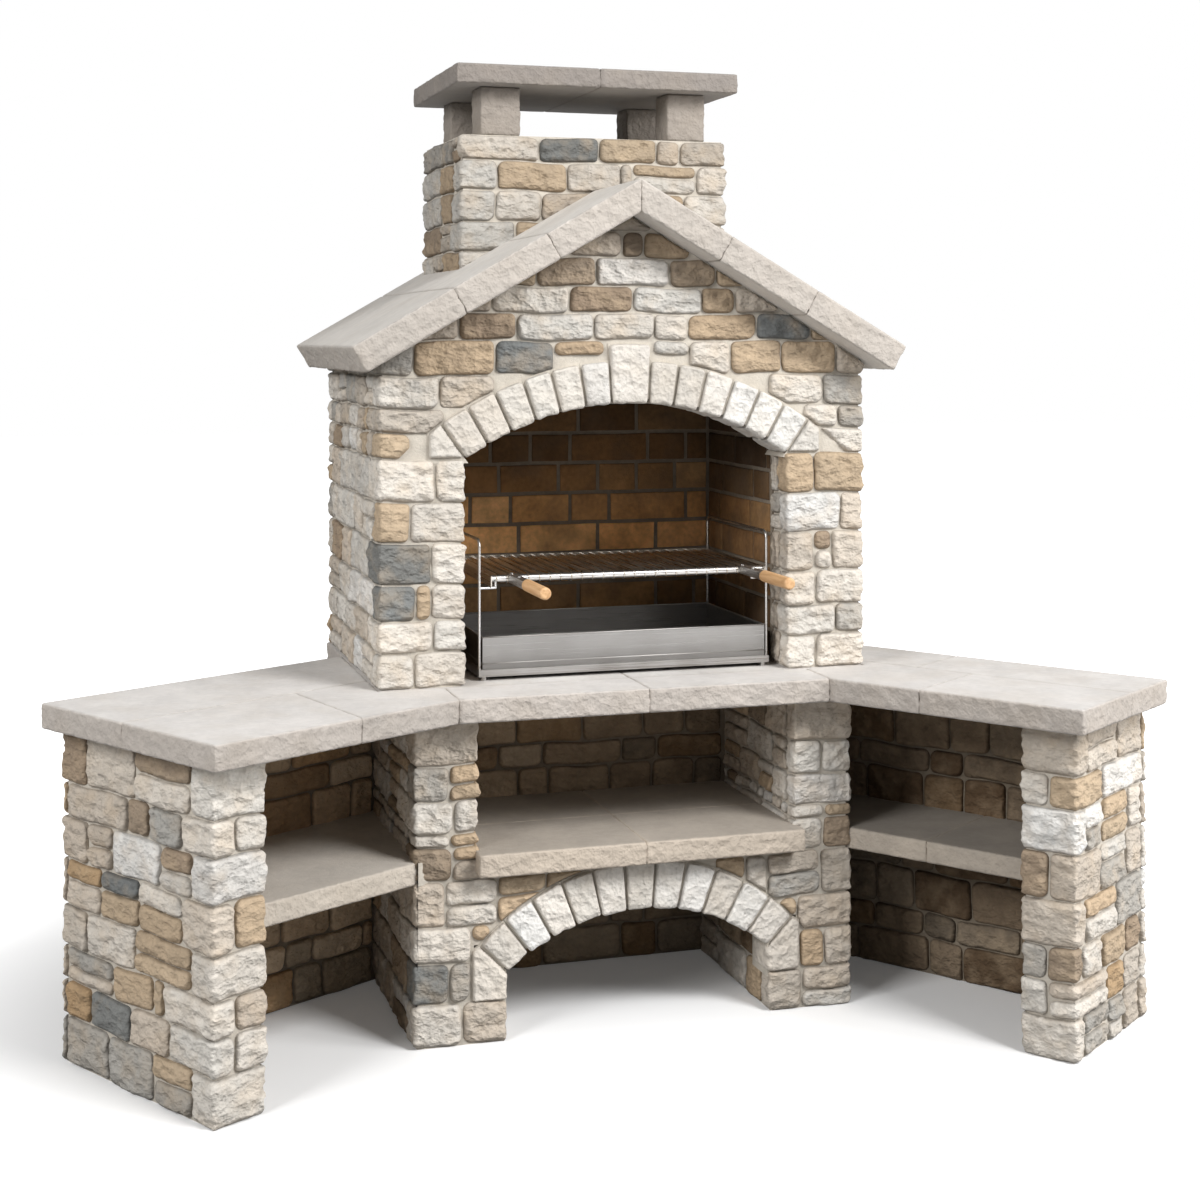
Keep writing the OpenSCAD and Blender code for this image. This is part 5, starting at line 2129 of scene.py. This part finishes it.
@dataclass
class SlabShell:
    """Slabs with flat tops, worn arrises and rough-split edges, shaped from the CAD outlines.

    Each level of the profile is an inset and a drop, as shares of the arris, then the share of the roughness
    and of the sides' painted shade, and how far its direction looks sideways.
    """

    nodes: Sequence[str]
    arris: float = 3.5
    step: float = 8.0
    relief: float = 1.8
    facet: float = 0.035
    chip: float = 0.011
    seed: float = 9.0
    profile: tuple[Cell, ...] = (
        (3.2, 0.0, 0.0, 0.0), (1.4, 0.0, 0.1, 0.3), (0.45, 0.3, 0.5, 0.7), (0.1, 0.9, 0.85, 1.0),
    )
    edge: float = 1.5

    def build(self, stone: Material, colour: Colour) -> None:
        """Builds a piece for each node.

        Args:
            stone: Finish of the slabs.
            colour: Usual colour of a slab.
        """
        rng = np.random.default_rng(101)
        values = {
            "Relief": self.relief * MM,
            "Facet Size": self.facet,
            "Chip Size": self.chip,
            "Seed": self.seed,
            "Material": stone,
        }
        for node in self.nodes:
            mesh = ShellMesh()
            for top, bottom, up in self._outlines(node):
                shade = rng.uniform(0.95, 1.04)
                self._shell(top, bottom, up, mesh)
                more = len(mesh.points) - len(mesh.tones)
                mesh.tones += [(*(c * shade for c in colour), 1.0)] * more
            piece = mesh_object(node + "_slab", np.array(mesh.points), mesh.faces)
            for k in mesh.flats:
                piece.data.polygons[k].use_smooth = False
            count = len(mesh.points)
            stored = {
                "out": np.array(mesh.outs),
                "rise": np.array(mesh.masks),
                "set_back": np.zeros(count),
                "salt": np.full(count, rng.uniform(0, 50)),
                "tone": np.array(mesh.tones),
            }
            roughen(piece, stored, values)
            finish_piece(piece, "slab_stone", BODY, node)

    def _outlines(self, node: str) -> Iterator[tuple[Array, Array, Array]]:
        """Reads the upper and lower outline of each solid of a node.

        Args:
            node: Name of the CAD node.

        Yields:
            The two outlines in metres, point by point over each other, and the direction that is up.
        """
        bm = bmesh.new()
        bm.from_mesh(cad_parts[node].data)
        bmesh.ops.remove_doubles(bm, verts=bm.verts, dist=WELD)
        bmesh.ops.dissolve_limit(bm, angle_limit=math.radians(0.5), verts=bm.verts, edges=bm.edges)
        for face in bm.faces:
            if face.normal.z < 0.6:
                continue
            up = face.normal
            top, bottom = [], []
            for vert in face.verts:
                drops = [e.other_vert(vert) for e in vert.link_edges]
                lowest = min(drops, key=lambda v: (v.co - vert.co).dot(up))
                top.append(list(vert.co))
                bottom.append(list(lowest.co))
            yield np.array(top), np.array(bottom), np.array(up)
        bm.free()

    def _rim(self, top: Array, bottom: Array, up: Array) -> Rim:
        """Rounds a slab's corners in plan and divides its sides.

        Args:
            top: Upper outline.
            bottom: Lower outline.
            up: Direction that is up.

        Returns:
            The points round the slab.
        """
        legs = np.roll(top, -1, 0) - top
        sizes = np.linalg.norm(legs, axis=1)
        ways = legs / sizes[:, None]
        outward = np.cross(ways, up)
        middles = outward + np.roll(outward, 1, 0)
        middles /= np.linalg.norm(middles, axis=1)[:, None]
        miters = middles / np.maximum(0.3, (middles * outward).sum(1))[:, None]
        rows = []
        for k in range(len(top)):
            after = (k + 1) % len(top)
            reach = min(self.arris * MM, min(sizes[k], sizes[k - 1]) / 4)
            convex = float(np.cross(ways[k - 1], ways[k]) @ up) > 0
            soft = reach if convex else 0.2 * reach
            share = soft / sizes[k - 1]
            early = miters[k] * (1 - share) + miters[k - 1] * share
            share = soft / sizes[k]
            late = miters[k] * (1 - share) + miters[after] * share
            corner = (
                (-ways[k - 1] * soft, early, outward[k - 1]),
                (-middles[k] * soft * 0.42, miters[k], middles[k]),
                (ways[k] * soft, late, outward[k]),
            )
            rows += [(top[k] + shift, bottom[k] + shift, -inward, out) for shift, inward, out in corner]
            length = sizes[k] - 2 * reach
            pieces = max(1, round(length / (self.step * MM)))
            for j in range(1, pieces):
                share = (reach + length * j / pieces) / sizes[k]
                upper = top[k] * (1 - share) + top[after] * share
                lower = bottom[k] * (1 - share) + bottom[after] * share
                inward = -miters[k] * (1 - share) - miters[after] * share
                rows.append((upper, lower, inward, outward[k]))
        return Rim(*(np.array(column) for column in zip(*rows)))

    def _shell(self, top: Array, bottom: Array, up: Array, mesh: ShellMesh) -> None:
        """Adds one slab's closed shell to the lists.

        Args:
            top: Upper outline.
            bottom: Lower outline.
            up: Direction that is up.
            mesh: The lists.
        """
        rim = self._rim(top, bottom, up)
        thick = float(np.linalg.norm((top - bottom) @ up[:, None], axis=1).mean())
        cut = self.arris * MM
        between = thick - 2 * self.edge * cut
        count = max(2, round(between / (self.step * MM)))
        levels = [(inset * cut, drop * cut, mask, side) for inset, drop, mask, side in self.profile]
        levels += [(0.0, self.edge * cut + between * j / count, 1.0, 1.0) for j in range(count + 1)]
        levels += [(i * cut, thick - drop * cut, mask, side) for i, drop, mask, side in self.profile[::-1]]
        start, size = len(mesh.points), len(rim.top)
        for inset, drop, mask, side in levels:
            ring = rim.top + (rim.low - rim.top) * (drop / thick) + rim.inward * inset
            mesh.points.extend(ring.tolist())
            mesh.masks.extend([mask] * size)
            mixed = rim.outward * max(side, 0.05) + up * (1 - side) * (1 if drop < thick / 2 else -1)
            mesh.outs.extend((mixed / np.linalg.norm(mixed, axis=1)[:, None]).tolist())
        for j in range(len(levels) - 1):
            a, b = start + j * size, start + (j + 1) * size
            for k in range(size):
                n = (k + 1) % size
                mesh.faces.append((a + k, b + k, b + n, a + n))
        last = start + (len(levels) - 1) * size
        for outline in (range(start, start + size), range(last + size - 1, last - 1, -1)):
            mesh.flats.append(len(mesh.faces))
            mesh.faces.append(tuple(outline))


@dataclass(frozen=True)
class SteelFinish:
    """Steel with fine brushing along one axis."""

    name: str
    colour: Colour = (0.62, 0.61, 0.60)
    tint: Colour = (0.40, 0.38, 0.36)
    roughness: float = 0.34
    spread: float = 0.12
    brush: Triple = (3.0, 400.0, 400.0)
    bump: float = 0.00012
    metallic: float = 1.0

    def build(self) -> Material:
        """Builds the material.

        Returns:
            The material.
        """
        material, g, shader = new_material(self.name)
        spot = g.add("ShaderNodeTexCoord").outputs["Object"]
        lines = g.noise(g.vector("MULTIPLY", spot, self.brush), 1.0, Detail=4.0, Roughness=0.6)
        patches = g.noise(spot, 9.0, Detail=3.0)
        mixed = g.math("ADD", g.math("MULTIPLY", lines, 0.6), g.math("MULTIPLY", patches, 0.4))
        colour = g.blend(g.ramp(mixed, (0.38, 0.62)), (*self.tint, 1), (*self.colour, 1))
        rough = g.ramp(lines, (0.3, 0.7), (self.roughness - self.spread, self.roughness + self.spread))
        bump = g.add("ShaderNodeBump", {"Strength": 1.0, "Distance": self.bump, "Height": lines})
        g.put(shader.inputs["Base Color"], colour)
        g.put(shader.inputs["Roughness"], rough)
        g.put(shader.inputs["Normal"], bump.outputs[0])
        shader.inputs["Metallic"].default_value = self.metallic
        return material


@dataclass(frozen=True)
class WoodFinish:
    """Turned beech whose grain runs along Y."""

    name: str = "turned beech"
    light: Colour = (0.70, 0.44, 0.23)
    dark: Colour = (0.52, 0.29, 0.13)
    roughness: float = 0.5
    bump: float = 0.0003

    def build(self) -> Material:
        """Builds the material.

        Returns:
            The material.
        """
        material, g, shader = new_material(self.name)
        spot = g.add("ShaderNodeTexCoord").outputs["Object"]
        rings = g.noise(g.vector("MULTIPLY", spot, (90.0, 7.0, 90.0)), 1.0, Detail=4.0, Distortion=0.8)
        pores = g.noise(g.vector("MULTIPLY", spot, (900.0, 60.0, 900.0)), 1.0, Detail=2.0)
        mixed = g.math("ADD", g.math("MULTIPLY", rings, 0.75), g.math("MULTIPLY", pores, 0.25))
        colour = g.blend(g.ramp(mixed, (0.36, 0.62)), (*self.dark, 1), (*self.light, 1))
        bump = g.add("ShaderNodeBump", {"Strength": 1.0, "Distance": self.bump, "Height": pores})
        g.put(shader.inputs["Base Color"], colour)
        g.put(shader.inputs["Normal"], bump.outputs[0])
        shader.inputs["Roughness"].default_value = self.roughness
        return material


STEEL = SteelFinish("brushed stainless steel")
TRAY_STEEL = SteelFinish("folded tray steel", colour=(0.30, 0.29, 0.28), tint=(0.25, 0.24, 0.23))
ROLLED_STEEL = SteelFinish("rolled tray steel", colour=(0.44, 0.43, 0.42), roughness=0.5, bump=0.0)
DARK_STEEL = SteelFinish(
    "heat-darkened steel", colour=(0.66, 0.62, 0.56), tint=(0.36, 0.31, 0.26), roughness=0.32,
    brush=(300.0, 6.0, 300.0),
)


def dress(material: Material, *nodes: str) -> None:
    """Gives CAD nodes a material.

    Args:
        material: The finish.
        nodes: Names of the CAD nodes.
    """
    for node in nodes:
        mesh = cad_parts[node].data
        mesh.materials.clear()
        mesh.materials.append(material)
        LOG.info("%s: kept from the part", node)


@dataclass
class GrateLoops:
    """Wire loops by which the grate's bars hold the front tube."""

    count: int = 26
    pitch: float = 28.0
    middle: float = 22.8
    depth: float = 165.0
    height: float = 1100.3
    radius: float = 9.9
    wire: float = 2.1

    def build(self, steel: Material) -> None:
        """Builds the loops.

        Args:
            steel: Finish of the loops.
        """
        start = self.middle - self.pitch * (self.count - 1) / 2
        spots = [(start + self.pitch * k, self.depth, self.height) for k in range(self.count)]
        piece = mesh_object("grate_bar_loops", PLAN.metres(np.array(spots)), [])
        values = {"Loop Radius": self.radius * MM, "Wire Radius": self.wire * MM, "Material": steel}
        run_tree(piece, LOOP, values)
        finish_piece(piece, "grate_steel", "grate")


@dataclass
class TrayFolds:
    """Rolled upper rim and the bead along the foot of the ember tray."""

    left: float = -366.0
    right: float = 388.0
    front: float = 145.0
    rear: float = 575.0
    rim: float = 957.4
    bead: float = 892.0
    wire: float = 2.2

    def build(self, steel: Material) -> None:
        """Builds the rim and the bead.

        Args:
            steel: Finish of the tray.
        """
        inset = self.wire * 0.5
        left, right = self.left + inset, self.right - inset
        front, rear = self.front + inset, self.rear - inset
        plan = ((left, front), (right, front), (right, rear), (left, rear))
        for name, height in (("ember_tray_rim", self.rim), ("ember_tray_bead", self.bead)):
            corners = PLAN.metres(np.array([(*corner, height) for corner in plan]))
            piece = mesh_object(name, corners, [(0, 1, 2, 3)])
            bm = bmesh.new()
            bm.from_mesh(piece.data)
            bmesh.ops.delete(bm, geom=bm.faces, context="FACES_ONLY")
            bm.to_mesh(piece.data)
            bm.free()
            run_tree(piece, WIRE, {"Wire Radius": self.wire * MM, "Material": steel})
            finish_piece(piece, "stainless", "ember_tray")


@dataclass
class Studio:
    """White floor, soft lamps and the camera."""

    eye: Triple = (-1.40783, -4.61946, 1.700)
    turn: float = -17.09
    lens: float = 57.13
    shift_y: float = -0.217
    ambient: float = 0.21
    near_glow: float = 0.05
    glow_reach: Pair = (1.1, 2.5)
    floor_half: float = 30.0
    floor_tones: Pair = (0.32, 0.90)

    def camera(self) -> None:
        """Sets the camera at the photograph's viewing angle."""
        data = bpy.data.cameras.new("camera")
        data.lens = self.lens
        data.sensor_width = 36.0
        data.shift_y = self.shift_y
        data.clip_end = 200
        camera = new_object("camera", data)
        camera.location = self.eye
        camera.rotation_euler = (math.radians(90), 0, math.radians(self.turn))
        bpy.context.scene.camera = camera

    def lamp(self, name: str, spot: tuple, target: tuple, size: float, power: float) -> None:
        """Adds a soft area lamp.

        Args:
            name: Name of the lamp.
            spot: Its place.
            target: The point it faces.
            size: Width of the square.
            power: Power in watts.
        """
        data = bpy.data.lights.new(name, "AREA")
        data.size = size
        data.energy = power
        lamp = new_object(name, data)
        lamp.location = spot
        lamp.rotation_euler = (Vector(target) - Vector(spot)).to_track_quat("-Z", "Y").to_euler()

    def floor(self) -> None:
        """Adds the pale floor that shows white to the camera and keeps the shadows."""
        h = self.floor_half
        points = np.array([(-h, -h, 0), (h, -h, 0), (h, h, 0), (-h, h, 0)], float)
        floor = mesh_object("floor", points, [(0, 1, 2, 3)])
        material = bpy.data.materials.new("studio floor")
        material.use_nodes = True
        g = Graph(material.node_tree)
        path = g.add("ShaderNodeLightPath")
        seen = g.math("MAXIMUM", path.outputs["Is Camera Ray"], path.outputs["Is Glossy Ray"])
        plain = g.add("ShaderNodeBsdfDiffuse", {"Color": g.ramp(seen, (0.0, 1.0), self.floor_tones)})
        spot = g.add("ShaderNodeTexCoord").outputs["Object"]
        reach = g.add("ShaderNodeVectorMath", {0: spot}, operation="LENGTH").outputs["Value"]
        levels = (self.near_glow, 1.0)
        glow = g.ramp(reach, self.glow_reach, levels, interpolation_type="SMOOTHSTEP")
        shine = {"Color": (1, 1, 1, 1), "Strength": g.math("MULTIPLY", seen, glow)}
        lit = g.add("ShaderNodeEmission", shine)
        both = g.add("ShaderNodeAddShader", {0: plain.outputs[0], 1: lit.outputs[0]})
        g.add("ShaderNodeOutputMaterial", {"Surface": both.outputs[0]})
        floor.data.materials.append(material)
        floor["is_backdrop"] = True

    def world(self) -> None:
        """Sets the even white surroundings."""
        world = bpy.data.worlds.new("studio")
        bpy.context.scene.world = world
        world.use_nodes = True
        g = Graph(world.node_tree)
        path = g.add("ShaderNodeLightPath")
        seen = g.math("MAXIMUM", path.outputs["Is Camera Ray"], path.outputs["Is Transmission Ray"])
        level = g.ramp(seen, (0.0, 1.0), (self.ambient, 1.0))
        back = g.add("ShaderNodeBackground", {"Color": (1, 1, 1, 1), "Strength": level})
        g.add("ShaderNodeOutputWorld", {"Surface": back.outputs[0]})

    def build(self) -> None:
        """Builds the whole studio."""
        self.camera()
        self.floor()
        self.world()
        self.lamp("key", (3.1, -5.2, 6.2), (0.0, 0.0, 0.8), 2.4, 525)
        self.lamp("right", (5.6, -3.9, 3.2), (0.6, 0.0, 0.6), 2.2, 260)
        self.lamp("side", (-5.4, -3.2, 4.6), (0.0, 0.0, 0.8), 3.0, 350)
        bpy.context.scene.view_settings.view_transform = "Standard"


def slab_pieces() -> None:
    """Builds all slabs."""
    shelves = (
        "left_wing_shelf", "right_wing_shelf_inner", "right_wing_shelf_outer", "centre_shelf_front",
        "centre_shelf_rear",
    )
    work = (
        "worktop_centre_left", "worktop_centre_right", "worktop_left_end", "worktop_left_rear",
        "worktop_right_end", "worktop_right_rear_inner", "worktop_right_rear_outer", "hearth_slabs",
    )
    roof = [f"roof_{side}_{part}_slab" for side in ("left", "right") for part in ("ridge", "middle", "eave")]
    # Painted shade: shelves in the bays take darker colours than the worktops, the right ones darkest, and
    # side colours at 1 and above paint light on their edges; the roof, post and cap slabs get painted shade
    # on their sides.
    shelf_stone = replace(SLAB_STONE, name="shelf slab stone", side=(1.0, 0.97, 0.93)).build()
    roof_stone = replace(SLAB_STONE, name="roof slab stone", side=(0.71, 0.68, 0.655)).build()
    SlabShell(work).build(SLAB_STONE.build(), (0.655, 0.628, 0.603))
    lit_side_shelf_stone = replace(SLAB_STONE, name="lit-side shelf slab stone", side=(1.35, 1.31, 1.26)).build()
    SlabShell(shelves[:1]).build(shelf_stone, (0.54, 0.495, 0.440))
    SlabShell(shelves[1:3]).build(lit_side_shelf_stone, (0.31, 0.280, 0.245))
    SlabShell(shelves[3:]).build(lit_side_shelf_stone, (0.40, 0.355, 0.305))
    SlabShell([*roof, "roof_rear_ridge_slabs"]).build(roof_stone, (0.680, 0.645, 0.600))
    SlabShell(["chimney_posts"]).build(roof_stone, (0.435, 0.400, 0.360))
    SlabShell(["chimney_cap_slabs"]).build(roof_stone, (0.365, 0.340, 0.318))


def stone_pieces() -> None:
    """Builds all walls, arches and brick linings."""
    split, arch = SPLIT_STONE.build(), ARCH_STONE.build()
    mortar, brick, brick_mortar = MORTAR.build(), FIREBRICK.build(), BRICK_MORTAR.build()
    walls = StoneSet()
    base = StoneBase()
    base.centre(walls.patches)
    base.pillars(walls.patches)
    base.back_walls(walls.patches)
    FireboxWalls().lay(walls.patches)
    Chimney().lay(walls.patches)
    shaded = SHADED_MORTAR.build()
    walls.build(split, mortar, SPLIT.recess, 4.5, "split_stone", upright_faces, shaded)
    arches = StoneSet()
    ArchStones().lay(arches.patches)
    arches.build(arch, mortar, DRESSED.recess, 2.2, "arch_stone", ring_faces)
    linings = StoneSet()
    BrickLining().lay(linings.patches)
    linings.build(brick, brick_mortar, BRICK.recess, 0.5, "firebrick", upright_faces)


def grill_pieces() -> None:
    """Gives the grill's solids their finishes and adds its thin trim."""
    steel, tray, dark = STEEL.build(), TRAY_STEEL.build(), DARK_STEEL.build()
    dress(
        steel, "grill_base_frame", "left_side_frame", "right_side_frame", "grate_front_tube",
        "left_handle_bracket", "right_handle_bracket", "handle_rivets",
    )
    dress(tray, "ember_tray")
    GrateLoops().build(dark)
    TrayFolds().build(ROLLED_STEEL.build())
    dress(dark, "grate_bars", "grate_rear_rail", "grate_side_plates")
    dress(WoodFinish().build(), "left_grip", "right_grip")


def main() -> None:
    """Builds every piece in order."""
    logging.basicConfig(level=logging.INFO, format="%(name)s %(message)s")
    Studio().build()
    stone_pieces()
    slab_pieces()
    dress(HOOD.build(), "smoke_hood")
    grill_pieces()


if __name__ == "__main__":
    main()
    boxes = {"cad": CAD_BOX, "visual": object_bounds()}
    {k: [list(map(float, corner)) for corner in v] for k, v in boxes.items()}
